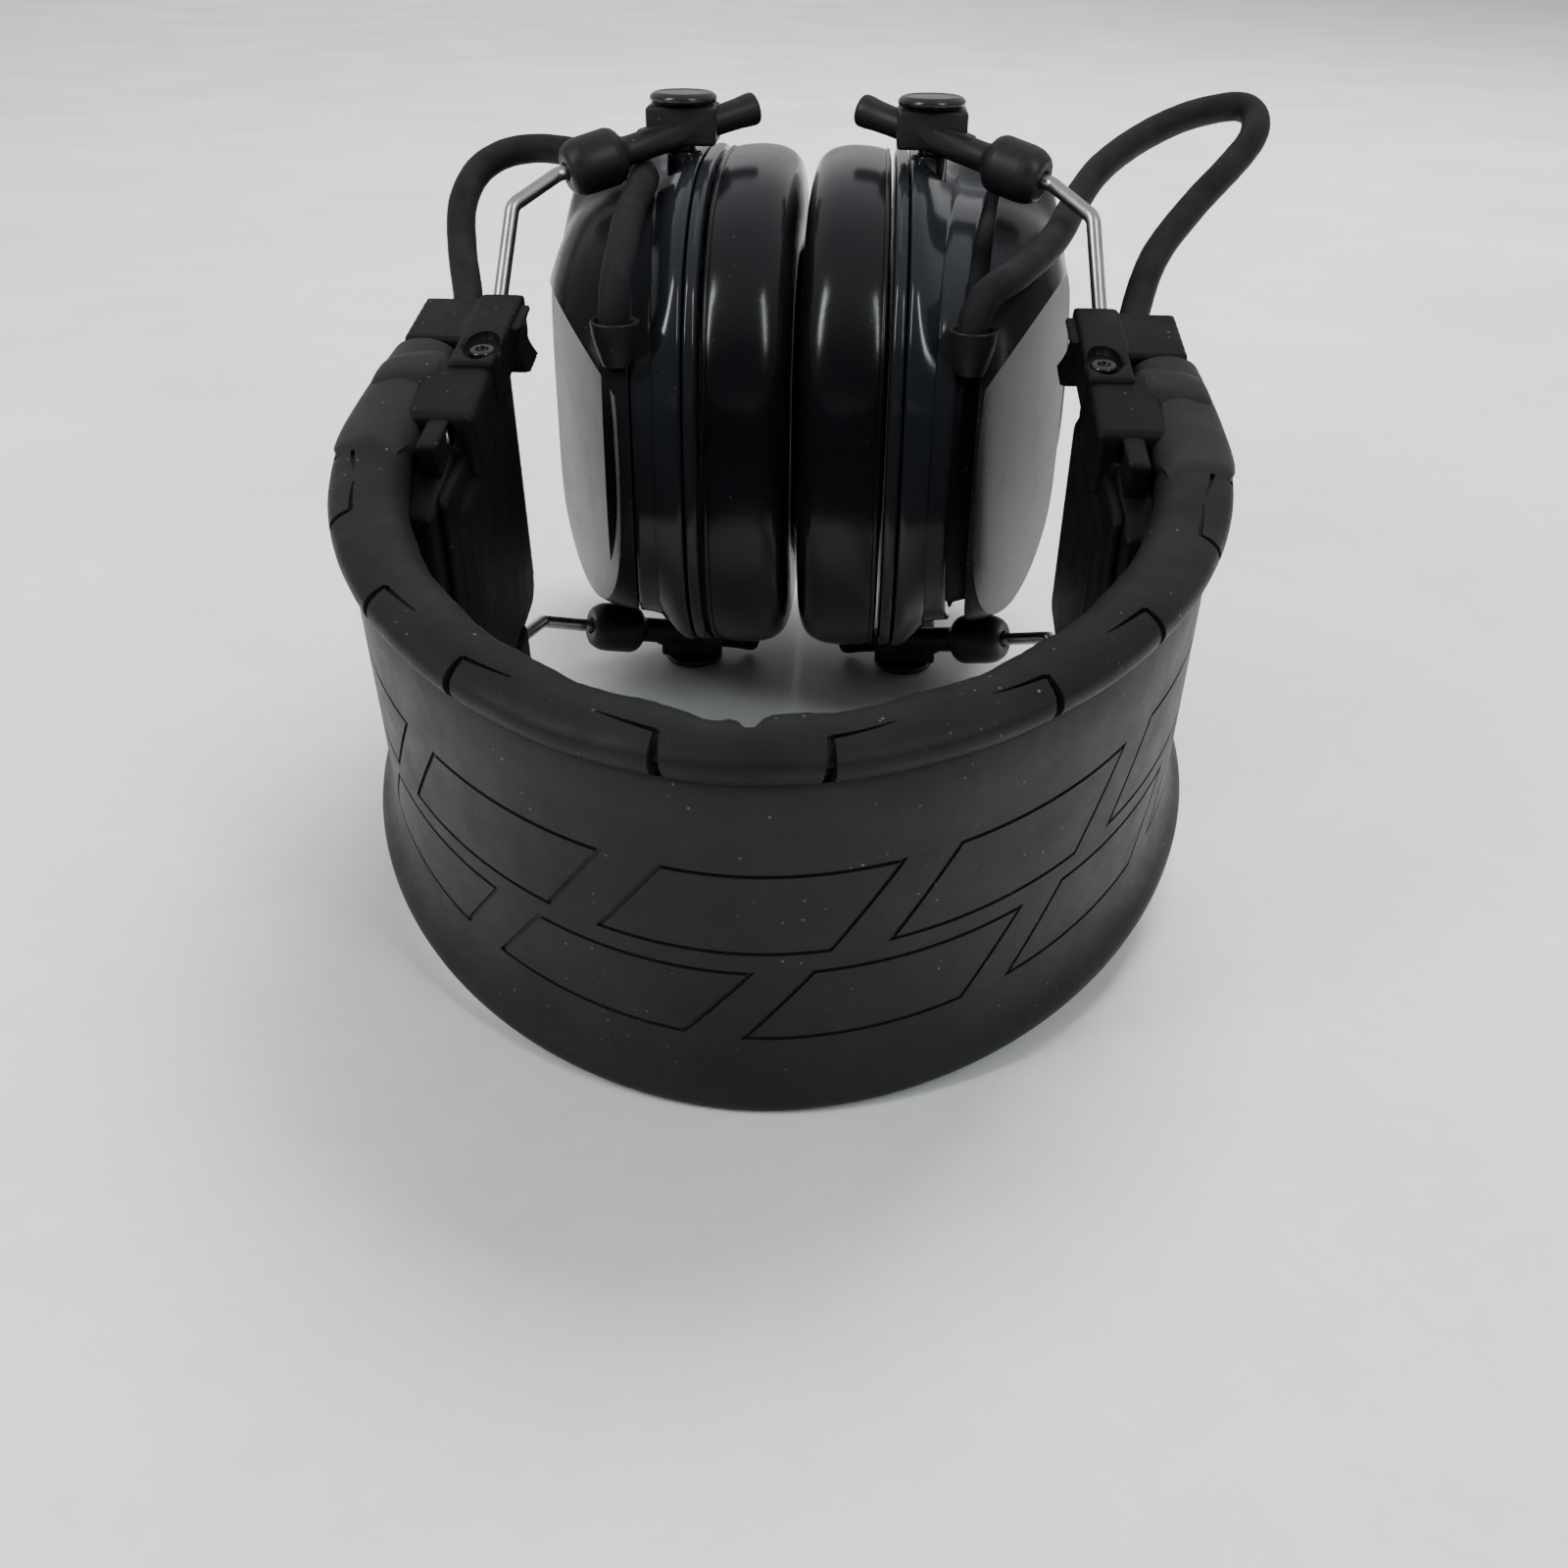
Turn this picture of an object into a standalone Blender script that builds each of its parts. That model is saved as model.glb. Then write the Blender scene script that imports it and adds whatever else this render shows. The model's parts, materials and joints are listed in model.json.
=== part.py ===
"""Radio headphones: a sprung headband, two sliding wire forks and two pivoting ear cups.

The headset lies on its side: X runs from ear to ear, Y from the crown of the headband back to the
cups, and Z across them. The forks and cups are built in an upright frame whose z = 0 is the cups'
mid-plane. The headband and its end brackets are built in their own frame, which the empty named
band_frame tips by REST_TILT about X and lowers until the crown's lip is level with the lower caps.
"""

import math

import bpy
import bmesh
from mathutils import Matrix, Vector

MM = 0.001
GAP = 0.3 * MM

# Rest attitude on the table: the cups stand on their lower pivot caps and the crown's lip touches down
REST_TILT = math.radians(9.8)

# Headband: outer face line (half superellipse, then nearly straight arms)
BAND_HALF_WIDTH = 64 * MM
BAND_DEPTH = 78 * MM
BAND_POWER = 1.9
ARM_END_Y = 104 * MM
ARM_TAPER = 1.0 * MM
FACE_HALF_HEIGHT = 24.5 * MM
COVER_THICKNESS = 2.4 * MM
LIP_BOTTOM = (-0.4 * MM, -30.1 * MM)
SPRING_HALF_HEIGHT = 8 * MM
SPRING_THICKNESS = 0.8 * MM
LEAD_DIAMETER = 2.4 * MM
LEAD_Z = 15.5 * MM
LEAD_DEPTH = 4.4 * MM
FRONT_STEPS = 28
ARM_STEPS = 4

# End brackets, at both ends of the headband
BRACKET_INNER_X = 50.4 * MM
BRACKET_OUTER_X = 63.6 * MM
BRACKET_END_Y = 121 * MM
BRACKET_HALF_HEIGHT = 30.5 * MM
TONGUE_START_Y = 70 * MM
TONGUE_OUTER_X = 55.0 * MM
TONGUE_HALF_HEIGHT = 19 * MM
RAIL_OUTER_X = 53.8 * MM
RAIL_HALF_HEIGHT = 29 * MM
LUG_INNER_X = 46.4 * MM
LUG_TOP_Z = 31.5 * MM
LUG_SPAN_Y = {"upper": (93 * MM, 121 * MM), "lower": (80 * MM, 95 * MM)}
NOTCH_START_Y = 96 * MM
PLATE_SPAN_Y = (64 * MM, 92.6 * MM, 111 * MM)
PLATE_HALF_HEIGHT = 23.4 * MM
SCREW_X = 49.4 * MM
SCREW_Y = {"upper": 99.5 * MM, "lower": 88 * MM}
SCREW_HEAD_RADIUS = 2.5 * MM

# Wire forks
WIRE_DIAMETER = 2.5 * MM
WIRE_X = 51.8 * MM
WIRE_BASE_Y = 80 * MM
WIRE_LEG_Z = 26.5 * MM
LOWER_LEG_EXIT_Y = 98.5 * MM
WIRE_BEND = Vector((49.5, 123.0, 38.8)) * MM
COLLAR_POINT = Vector((41.5, 131.5, 43.2)) * MM
BAR_INNER_POINT = Vector((9.5, 148.2, 52.2)) * MM
BAR_RADIUS = 2.5 * MM
COLLAR_RADIUS = 4.9 * MM
COLLAR_LENGTH = 10.2 * MM
SOCKET_DEPTH = 7 * MM

# Cup pivots
PIVOT_X = 22 * MM
PIVOT_Y = 143.5 * MM
PIVOT_BLOCK_LOW = Vector((16, 139.3, 46.6)) * MM
PIVOT_BLOCK_HIGH = Vector((28.4, 149.9, 51.8)) * MM
PIVOT_CAP_RADIUS = 6.0 * MM
PIVOT_CAP_Z = (52.1 * MM, 55.2 * MM)
PIVOT_PIN_RADIUS = 2.0 * MM
PIVOT_PIN_END_Z = 41.8 * MM
PIVOT_BOSS_RADIUS = 3.2 * MM
PIVOT_BOSS_Z = (40.2 * MM, 45.5 * MM)

# Ear cups: superellipse outlines across Y and Z, centred on CUP_Y. Each station of a profile holds its distance
# from the mid-plane at CUP_Y, how much that grows with Y, and the outline's half length and half width.
CUP_Y = 150 * MM
CUP_POWER = 2.7
# The rear shoulders of the shell and cover rise by CUP_SWELL, from the start of each run along x, y and z
CUP_SWELL = 6 * MM
SWELL_START = (23 * MM, 150 * MM, 14 * MM)
SWELL_RUN = (8 * MM, 16 * MM, 22 * MM)
CUP_POINTS = 32
CUSHION_PROFILE = [
    (15.6, 0, 48.5, 42.6),
    (13.4, 0, 50.2, 44.2),
    (8.0, 0, 50.8, 44.8),
    (3.0, 0, 49.6, 43.6),
    (0.9, 0, 46.5, 40.4),
    (0.6, 0, 41.0, 34.8),
    (0.9, 0, 36.0, 29.0),
    (2.2, 0, 33.0, 25.6),
    (6.0, 0, 31.5, 24.0),
    (12.0, 0, 32.0, 24.4),
    (15.6, 0, 33.5, 25.8),
]
SEAL_RING_PROFILE = [
    (16.0, 0, 49.2, 43.7),
    (16.6, 0, 50.0, 44.6),
    (17.8, 0, 50.0, 44.6),
    (18.4, 0, 49.0, 43.7),
    (18.4, 0, 33.0, 25.0),
    (16.0, 0, 33.0, 25.0),
]
SHELL_INSIDE = [
    (28.9, 0.105, 46.9, 35.8),
    (27.4, 0.085, 47.5, 36.6),
    (24.0, 0.045, 47.8, 40.4),
    (19.6, 0, 47.8, 42.8),
    (18.7, 0, 47.2, 42.4),
]
SHELL_OUTSIDE = [
    (18.7, 0, 48.8, 44.0),
    (19.6, 0, 50.0, 45.0),
    (24.0, 0.045, 50.0, 42.6),
    (28.2, 0.09, 49.8, 38.9),
    (33.4, 0.13, 49.5, 38.4),
    (33.4, 0.13, 47.3, 36.2),
    (30.4, 0.125, 47.0, 35.8),
]
COVER_INSIDE = [
    (46.4, 0.075, 28.0, 17.0),
    (45.4, 0.075, 34.5, 22.5),
    (43.4, 0.085, 40.5, 28.5),
    (40.6, 0.10, 44.8, 32.8),
    (37.6, 0.12, 46.8, 35.1),
    (33.7, 0.13, 47.2, 36.1),
]
COVER_MOUTH = (30.0, 0.13, 47.2, 36.1)
COVER_OUTSIDE = [
    (33.7, 0.13, 49.4, 38.3),
    (35.3, 0.13, 49.6, 38.2),
    (38.0, 0.12, 49.2, 37.4),
    (41.9, 0.10, 47.0, 35.0),
    (45.2, 0.085, 42.5, 30.5),
    (47.6, 0.075, 36.0, 24.0),
    (48.6, 0.075, 29.0, 18.0),
]
TRIM_Y = 165 * MM
TRIM_PROFILE = [
    (48.9, 0.075, 11.6, 14.4),
    (49.4, 0.075, 11.6, 14.4),
    (49.8, 0.075, 10.8, 13.6),
]
# The flat facet cut into each cover: its near edge's top, a point along its upper crease and its near edge's foot
FACETS = {
    "left": ((30.0, 101.8, 12.5), (46.5, 141.0, 22.0), (30.0, 101.8, -40.0)),
    "right": ((31.2, 99.8, 14.5), (47.6, 141.0, 25.0), (31.2, 99.8, -40.0)),
}
FACET_WALL = 2.2 * MM
LEDGE_LEAN = math.radians(58)
LINER_PROFILE = [(19.2, 0, 46.2, 39.6), (21.2, 0, 46.0, 39.4)]
CUP_WALL = 2.2 * MM
RIGHT_COVER_LIFT = math.radians(2.0)
RIGHT_COVER_HINGE = (39.9 * MM, 199.4 * MM)

# Speakers
SPEAKER_START_X = 21.6 * MM
SPEAKER_PROFILE = [(0, 18), (1.2, 18), (1.6, 12), (4.0, 12), (4.4, 9)]

# Controls on the left cup and socket on the right cup, all on the end away from the headband
CONTROL_X = 26.6 * MM
END_WALL_Y = 199.9 * MM
BUTTON_RADIUS = 3.6 * MM
BUTTON_FLANGE_RADIUS = 4.8 * MM
BUTTON_PITCH = 15 * MM
BUTTON_PROUD = 1.5 * MM
BUTTON_NAMES = ("volume_down_button", "power_button", "volume_up_button")
SOCKET_PLACE_Z = -12 * MM
PLUG_RADIUS = 1.8 * MM

# Electronics and batteries
BOARD_X = (36.4 * MM, 38.0 * MM)
BOARD_SLOPE = 0.13
BOARD_SPAN_Y = (123 * MM, 181 * MM)
BOARD_HALF_WIDTH = 22 * MM
ROD_CENTRE = (41.6 * MM, 150 * MM)
ROD_RADIUS = 2.9 * MM
ROD_HALF_LENGTH = 22 * MM
AAA_RADIUS = 5.2 * MM
AAA_LENGTH = 44.5 * MM
CELL_START = (34.2 * MM, 131.5 * MM)
CELL_SLOPE = 0.125
CELL_Z = 5.6 * MM
HATCH_X = (42.4 * MM, 56.0 * MM)
HATCH_START_Y = 185 * MM
HATCH_HALF_WIDTH = 14 * MM
HATCH_HINGE = (42.2 * MM, 201.3 * MM)

# Cords between the headband and the cups
CORD_DIAMETER = 5.2 * MM
CORD_SPACING = 5 * MM
CORD_CUT = 0.45 * MM
OUTLET = Vector((57.3, 121, 25.5)) * MM
OUTLET_DEPTH = 8 * MM
GLAND_PLACE = (29.3 * MM, 101.6 * MM)
GLAND_Z = (17.5 * MM, 24.9 * MM)
GLAND_RADIUS = 4.5 * MM
CORD_ROUTES = {
    "left": {
        "outer": [
            (57.3, 107.5, 19.0),
            (57.3, 114.9, 20.2),
            (58.2, 121.4, 23.5),
            (60.8, 130.5, 29.5),
            (62.4, 139.6, 35.7),
            (61.2, 147.9, 40.2),
            (57.5, 154.0, 42.6),
            (52.0, 156.9, 43.4),
            (46.0, 156.0, 43.2),
        ],
        "inner": [
            (46.0, 156.0, 43.2),
            (39.0, 152.6, 42.6),
            (33.2, 147.4, 42.2),
            (30.2, 142.8, 42.0),
            (28.5, 137.2, 41.5),
            (28.2, 128.0, 41.0),
            (28.6, 118.0, 38.6),
            (28.8, 109.6, 34.8),
            (29.1, 103.8, 31.0),
            (29.3, 101.6, 26.4),
            (29.3, 101.6, 22.4),
            (29.3, 101.6, 19.1),
        ],
    },
    "right": {
        "outer": [
            (57.3, 107.5, 19.0),
            (57.3, 114.9, 20.2),
            (58.2, 122.0, 23.6),
            (62.3, 133.0, 30.7),
            (69.5, 143.0, 37.4),
            (77.0, 151.0, 43.4),
            (81.4, 157.0, 47.2),
            (82.9, 162.5, 49.9),
            (81.9, 167.0, 51.4),
            (78.5, 169.0, 51.4),
            (70.2, 166.0, 49.8),
            (61.4, 160.0, 46.6),
            (53.6, 150.5, 42.8),
        ],
        "inner": [
            (53.6, 150.5, 42.8),
            (48.6, 141.0, 38.6),
            (44.8, 128.5, 35.6),
            (40.8, 117.5, 33.9),
            (36.0, 108.6, 32.0),
            (31.2, 103.4, 29.9),
            (29.3, 101.6, 25.8),
            (29.3, 101.6, 22.4),
            (29.3, 101.6, 19.1),
        ],
    },
}

SIDES = {"left": -1, "right": 1}
LEVELS = {"upper": 1, "lower": -1}


def clear_scene():
    for obj in list(bpy.data.objects):
        bpy.data.objects.remove(obj, do_unlink=True)


def material(name, colour, roughness, metallic=0.0):
    found = bpy.data.materials.get(name)
    if found:
        return found
    made = bpy.data.materials.new(name)
    made.use_nodes = True
    shader = made.node_tree.nodes["Principled BSDF"]
    shader.inputs["Base Color"].default_value = (*colour, 1)
    shader.inputs["Roughness"].default_value = roughness
    shader.inputs["Metallic"].default_value = metallic
    return made


MATERIALS = {
    "rubber": ((0.022, 0.023, 0.025), 0.62, 0.0),
    "liner_foam": ((0.026, 0.027, 0.029), 0.7, 0.0),
    "shell_plastic": ((0.010, 0.010, 0.012), 0.18, 0.0),
    "matt_plastic": ((0.018, 0.019, 0.021), 0.5, 0.0),
    "cushion_vinyl": ((0.012, 0.012, 0.014), 0.28, 0.0),
    "steel_wire": ((0.62, 0.60, 0.56), 0.3, 1.0),
    "spring_steel": ((0.5, 0.5, 0.52), 0.35, 1.0),
    "cord_jacket": ((0.02, 0.02, 0.022), 0.6, 0.0),
    "grey_foam": ((0.16, 0.16, 0.17), 0.9, 0.0),
    "circuit_green": ((0.03, 0.16, 0.07), 0.45, 0.0),
    "battery_label": ((0.55, 0.42, 0.10), 0.35, 0.0),
    "ferrite": ((0.06, 0.055, 0.055), 0.5, 0.0),
    "trim_grey": ((0.09, 0.095, 0.10), 0.3, 0.0),
}


def smooth(mesh, angle=math.radians(35)):
    mesh.shade_smooth()
    mesh.set_sharp_from_angle(angle=angle)


def place(name, mesh, slot, parent, origin=(0, 0, 0)):
    """Links a mesh whose points are in the headset frame as one named object with its origin at origin."""
    offset = Vector(origin)
    mesh.transform(Matrix.Translation(-offset))
    smooth(mesh)
    obj = bpy.data.objects.new(name, mesh)
    bpy.context.scene.collection.objects.link(obj)
    obj.parent = parent
    obj.location = offset
    colour, roughness, metallic = MATERIALS[slot]
    mesh.materials.append(material(slot, colour, roughness, metallic))
    return obj


def mesh_of(points, faces, name="part"):
    """A mesh from points and faces, with its normals turned outward."""
    mesh = bpy.data.meshes.new(name)
    mesh.from_pydata([tuple(p) for p in points], [], faces)
    turn_outward(mesh)
    return mesh


def turn_outward(mesh):
    shape = bmesh.new()
    shape.from_mesh(mesh)
    bmesh.ops.recalc_face_normals(shape, faces=shape.faces)
    if shape.calc_volume(signed=True) < 0:
        bmesh.ops.reverse_faces(shape, faces=shape.faces)
    shape.to_mesh(mesh)
    shape.free()


def loft(rings, closed=False):
    """Bridges successive rings of equal length. An open loft is capped at both ends."""
    count = len(rings[0])
    points = [p for ring in rings for p in ring]
    faces = []
    spans = len(rings) if closed else len(rings) - 1
    for i in range(spans):
        a = i * count
        b = ((i + 1) % len(rings)) * count
        for j in range(count):
            k = (j + 1) % count
            faces.append((a + j, a + k, b + k, b + j))
    if not closed:
        faces.append(tuple(reversed(range(count))))
        faces.append(tuple(range((len(rings) - 1) * count, len(rings) * count)))
    return mesh_of(points, faces)


def box(low, high):
    """An axis-aligned box between two corners."""
    (x0, y0, z0), (x1, y1, z1) = low, high
    lower = [(x0, y0, z0), (x1, y0, z0), (x1, y1, z0), (x0, y1, z0)]
    upper = [(x, y, z1) for x, y, _ in lower]
    return loft([lower, upper])


def frame_along(direction):
    """Two unit vectors square to a direction."""
    d = Vector(direction).normalized()
    helper = Vector((0, 0, 1)) if abs(d.z) < 0.9 else Vector((1, 0, 0))
    u = d.cross(helper).normalized()
    return u, d.cross(u).normalized()


def turned(start, end, profile, sides=16):
    """A solid turned about the line from start to end: profile holds (distance along, radius)."""
    start, end = Vector(start), Vector(end)
    d = (end - start).normalized()
    u, v = frame_along(d)
    rings = []
    for along, radius in profile:
        centre = start + d * along
        turns = [2 * math.pi * k / sides for k in range(sides)]
        rings.append([centre + radius * (math.cos(t) * u + math.sin(t) * v) for t in turns])
    return loft(rings)


def rod(start, end, radius, sides=16):
    return turned(start, end, [(0, radius), ((Vector(end) - Vector(start)).length, radius)], sides)


def combine(mesh, others, operation="UNION"):
    """Applies an exact Boolean of each other mesh to the first one and returns the result."""
    base = bpy.data.objects.new("base", mesh)
    bpy.context.scene.collection.objects.link(base)
    for other in others:
        tool = bpy.data.objects.new("tool", other)
        bpy.context.scene.collection.objects.link(tool)
        cut = base.modifiers.new("cut", "BOOLEAN")
        cut.operation = operation
        cut.object = tool
        cut.solver = "EXACT"
        graph = bpy.context.evaluated_depsgraph_get()
        result = bpy.data.meshes.new_from_object(base.evaluated_get(graph))
        base.modifiers.clear()
        base.data = result
        bpy.data.objects.remove(tool, do_unlink=True)
    result = base.data
    bpy.data.objects.remove(base, do_unlink=True)
    result.materials.clear()
    return result


def cut_away(mesh, *others):
    return combine(mesh, others, "DIFFERENCE")


def smooth_route(points, spacing):
    """Points at an even spacing along a Catmull-Rom curve through the given points."""
    given = [Vector(p) for p in points]
    padded = [2 * given[0] - given[1], *given, 2 * given[-1] - given[-2]]
    fine = []
    for i in range(1, len(padded) - 2):
        a, b, c, d = padded[i - 1 : i + 3]
        for k in range(24):
            t = k / 24
            fine.append(
                0.5 * ((2 * b) + (c - a) * t + (2 * a - 5 * b + 4 * c - d) * t**2 + (3 * b - a - 3 * c + d) * t**3)
            )
    fine.append(given[-1])
    length = sum((q - p).length for p, q in zip(fine, fine[1:]))
    count = max(2, round(length / spacing))
    step, walked, kept = length / count, 0.0, [fine[0]]
    for p, q in zip(fine, fine[1:]):
        walked += (q - p).length
        while len(kept) < count and walked >= step * len(kept):
            kept.append(q.copy())
    kept.append(fine[-1])
    return kept


def tube(name, points, diameter, slot, parent, resolution=2):
    """A plain tube of the given diameter along a polyline."""
    curve = bpy.data.curves.new(name, "CURVE")
    curve.dimensions = "3D"
    curve.bevel_depth = diameter / 2
    curve.bevel_resolution = resolution
    curve.use_fill_caps = True
    spline = curve.splines.new("POLY")
    spline.points.add(len(points) - 1)
    for point, place_at in zip(spline.points, points):
        point.co = (*place_at, 1)
    obj = bpy.data.objects.new(name, curve)
    bpy.context.scene.collection.objects.link(obj)
    obj.parent = parent
    colour, roughness, metallic = MATERIALS[slot]
    curve.materials.append(material(slot, colour, roughness, metallic))
    return obj


# ---------------------------------------------------------------- headband


def band_line():
    """The line of the outer face from the left arm's end round the crown to the right arm's end, with normals."""
    half = []
    for i in range(FRONT_STEPS // 2 + 1):
        t = math.pi / 2 * i / (FRONT_STEPS // 2)
        x = BAND_HALF_WIDTH * math.sin(t) ** (2 / BAND_POWER)
        y = BAND_DEPTH * (1 - math.cos(t) ** (2 / BAND_POWER))
        half.append((x, y))
    for i in range(1, ARM_STEPS + 1):
        f = i / ARM_STEPS
        y = BAND_DEPTH + (ARM_END_Y - BAND_DEPTH) * f
        half.append((BAND_HALF_WIDTH - ARM_TAPER * f**2, y))
    line = [(-x, y) for x, y in reversed(half[1:])] + half
    normals = []
    for i in range(len(line)):
        a = Vector(line[max(i - 1, 0)])
        b = Vector(line[min(i + 1, len(line) - 1)])
        along = (b - a).normalized()
        normals.append(Vector((along.y, -along.x)))
    return list(zip(line, normals))


def swept(section, line=None):
    """Sweeps a closed (outward offset, z) section along the headband line."""
    rings = []
    for (x, y), n in line or band_line():
        rings.append([(x + n.x * o, y + n.y * o, z) for o, z in section])
    return loft(rings)


def cover_section():
    """The outer cover: a plain face whose lower edge flares into a rounded lip."""
    t = COVER_THICKNESS
    top = FACE_HALF_HEIGHT
    lip = [(0.4, -22.5), (1.6, -25.2), (3.0, -27.2), (3.1, -28.6), (2.2, -29.7), (0.4, -30.1), (-1.6, -29.6)]
    outer = [(0.0, top), (0.0, 0.0)] + [(o * MM, z * MM) for o, z in lip]
    inner = [(-t, -27.6 * MM), (-t, 0.0), (-t, top)]
    return outer + inner


def pad_section():
    """The inner pad: a flat web with channels for the spring and the lead, and a fat roll along its upper edge."""
    back = -COVER_THICKNESS - GAP
    spring = SPRING_HALF_HEIGHT + GAP
    spring_floor = back - SPRING_THICKNESS - 2 * GAP
    lead_low = LEAD_Z - LEAD_DIAMETER / 2 - GAP
    lead_high = LEAD_Z + LEAD_DIAMETER / 2 + GAP
    lead_floor = -LEAD_DEPTH - LEAD_DIAMETER / 2 - GAP
    roll = [(0.6, 24.8), (1.6, 25.8), (1.9, 27.2), (1.2, 28.8), (-0.8, 29.9), (-3.8, 30.2), (-6.6, 29.5), (-8.4, 27.8), (-8.9, 25.6)]
    web = [(-8.2, 22.8), (-7.0, 20.6), (-6.6, 17.0), (-6.6, -23.5), (-6.2, -26.2), (-4.8, -27.6)]
    outside = [(back, -27.6 * MM), (back, -spring), (spring_floor, -spring), (spring_floor, spring), (back, spring)]
    outside += [(back, lead_low), (lead_floor, lead_low), (lead_floor, lead_high), (back, lead_high), (back, 24.8 * MM)]
    inside = [(o * MM, z * MM) for o, z in roll + web]
    return outside + inside


def build_headband(parent):
    place("headband_cover", swept(cover_section()), "rubber", parent)
    place("headband_pad", swept(pad_section()), "liner_foam", parent)
    outer = -COVER_THICKNESS - 2 * GAP
    inner = outer - SPRING_THICKNESS
    high = SPRING_HALF_HEIGHT
    strip = [(outer, high), (outer, -high), (inner, -high), (inner, high)]
    place("headband_spring", swept(strip), "spring_steel", parent)
    route = [(x - n.x * LEAD_DEPTH, y - n.y * LEAD_DEPTH, LEAD_Z) for (x, y), n in band_line()]
    tube("headband_lead", smooth_route(route, 7 * MM), LEAD_DIAMETER, "cord_jacket", parent)


# ---------------------------------------------------------------- end brackets


def bracket_mesh():
    """Right-hand bracket: a block behind the rubber's end, a tongue along its inside and two screwed lugs.

    The fork's legs slide in two channels. The lower one opens downward from NOTCH_START_Y.
    """
    block = box(
        (BRACKET_INNER_X, ARM_END_Y + GAP, -BRACKET_HALF_HEIGHT),
        (BRACKET_OUTER_X, BRACKET_END_Y, BRACKET_HALF_HEIGHT),
    )
    into_block = ARM_END_Y + 4 * MM
    others = [
        box(
            (BRACKET_INNER_X, TONGUE_START_Y, -TONGUE_HALF_HEIGHT),
            (TONGUE_OUTER_X, into_block, TONGUE_HALF_HEIGHT),
        ),
        box(
            (BRACKET_INNER_X, TONGUE_START_Y, -RAIL_HALF_HEIGHT),
            (RAIL_OUTER_X, into_block, RAIL_HALF_HEIGHT),
        ),
    ]
    for level, up in LEVELS.items():
        low, high = sorted((up * (PLATE_HALF_HEIGHT + GAP), up * LUG_TOP_Z))
        start_y, end_y = LUG_SPAN_Y[level]
        others.append(box((LUG_INNER_X, start_y, low), (RAIL_OUTER_X, end_y, high)))
    body = combine(block, others)
    room = WIRE_DIAMETER / 2 + GAP
    inside = BRACKET_INNER_X - 0.2 * MM
    base_room = WIRE_LEG_Z - room + 0.1 * MM
    cuts = [
        box(
            (inside, WIRE_BASE_Y - room - 2 * MM, -base_room),
            (WIRE_X + room, BRACKET_END_Y - 3 * MM, base_room),
        )
    ]
    notch_low = (inside - 1 * MM, NOTCH_START_Y, -LUG_TOP_Z - 1 * MM)
    cuts.append(box(notch_low, (WIRE_X + room, BRACKET_END_Y + 1 * MM, room - WIRE_LEG_Z)))
    for level, up in LEVELS.items():
        low, high = sorted((up * (WIRE_LEG_Z - room), up * (WIRE_LEG_Z + room)))
        cuts.append(
            box((inside, WIRE_BASE_Y - room - 2 * MM, low), (WIRE_X + room, BRACKET_END_Y + 1 * MM, high))
        )
        x, y = SCREW_X, SCREW_Y[level]
        top = up * (LUG_TOP_Z + 1 * MM)
        cuts.append(rod((x, y, up * (LUG_TOP_Z - 1.5 * MM)), (x, y, top), SCREW_HEAD_RADIUS + 2 * GAP))
        cuts.append(rod((x, y, up * PLATE_HALF_HEIGHT), (x, y, top), 1.0 * MM, 12))
    start = OUTLET - Vector((0, OUTLET_DEPTH, 0))
    cuts.append(rod(start, OUTLET + Vector((0, 1 * MM, 0)), CORD_DIAMETER / 2 + GAP))
    return cut_away(body, *cuts)


def rounded_outline(low, high, radius, corner_steps=3):
    """A rounded rectangle in Y and Z, as (y, z) pairs."""
    (y0, z0), (y1, z1) = low, high
    centres = [(y1 - radius, z1 - radius), (y0 + radius, z1 - radius), (y0 + radius, z0 + radius), (y1 - radius, z0 + radius)]
    outline = []
    for quarter, (cy, cz) in enumerate(centres):
        for k in range(corner_steps + 1):
            t = math.pi / 2 * (quarter + k / corner_steps)
            outline.append((cy + radius * math.cos(t), cz + radius * math.sin(t)))
    return outline


def plate_mesh():
    """The moulded plate that closes the bracket's inner side, with its raised rectangular panel."""
    y0, _, y1 = PLATE_SPAN_Y
    z1 = PLATE_HALF_HEIGHT
    rings = []
    for x, inset, radius in ((50.1, 0, 2.5), (48.6, 0, 2.5), (48.2, 0.6, 2.5), (48.0, 4.0, 2.0), (46.9, 5.0, 2.0)):
        inset *= MM
        outline = rounded_outline((y0 + inset, inset - z1), (y1 - inset, z1 - inset), radius * MM)
        rings.append([(x * MM, y, z) for y, z in outline])
    return loft(rings)


def screw_mesh(level):
    """A countersunk bracket screw standing in its recess."""
    up = LEVELS[level]
    x, y = SCREW_X, SCREW_Y[level]
    head = LUG_TOP_Z - 1.2 * MM
    profile = [(0, 0.7), (5.2, 0.7), (5.2, 2.3), (6.1, 2.4), (6.3, 1.9), (6.3, 0.9), (5.7, 0.9)]
    profile = [(a * MM, r * MM) for a, r in profile]
    start = (x, y, up * (head - 5.2 * MM))
    return turned(start, (x, y, up * LUG_TOP_Z), profile, 14)


def on_side(mesh, side):
    """Mirrors a right-hand mesh for the left side."""
    if side < 0:
        mesh.transform(Matrix.Scale(-1, 4, (1, 0, 0)))
    turn_outward(mesh)
    return mesh


def build_bracket(side_name, side, parent):
    place(f"end_bracket_{side_name}", on_side(bracket_mesh(), side), "matt_plastic", parent)
    place(f"bracket_plate_{side_name}", on_side(plate_mesh(), side), "matt_plastic", parent)
    for level in LEVELS:
        place(f"bracket_screw_{level}_{side_name}", on_side(screw_mesh(level), side), "spring_steel", parent)


# ---------------------------------------------------------------- wire forks and pivot bars


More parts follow.
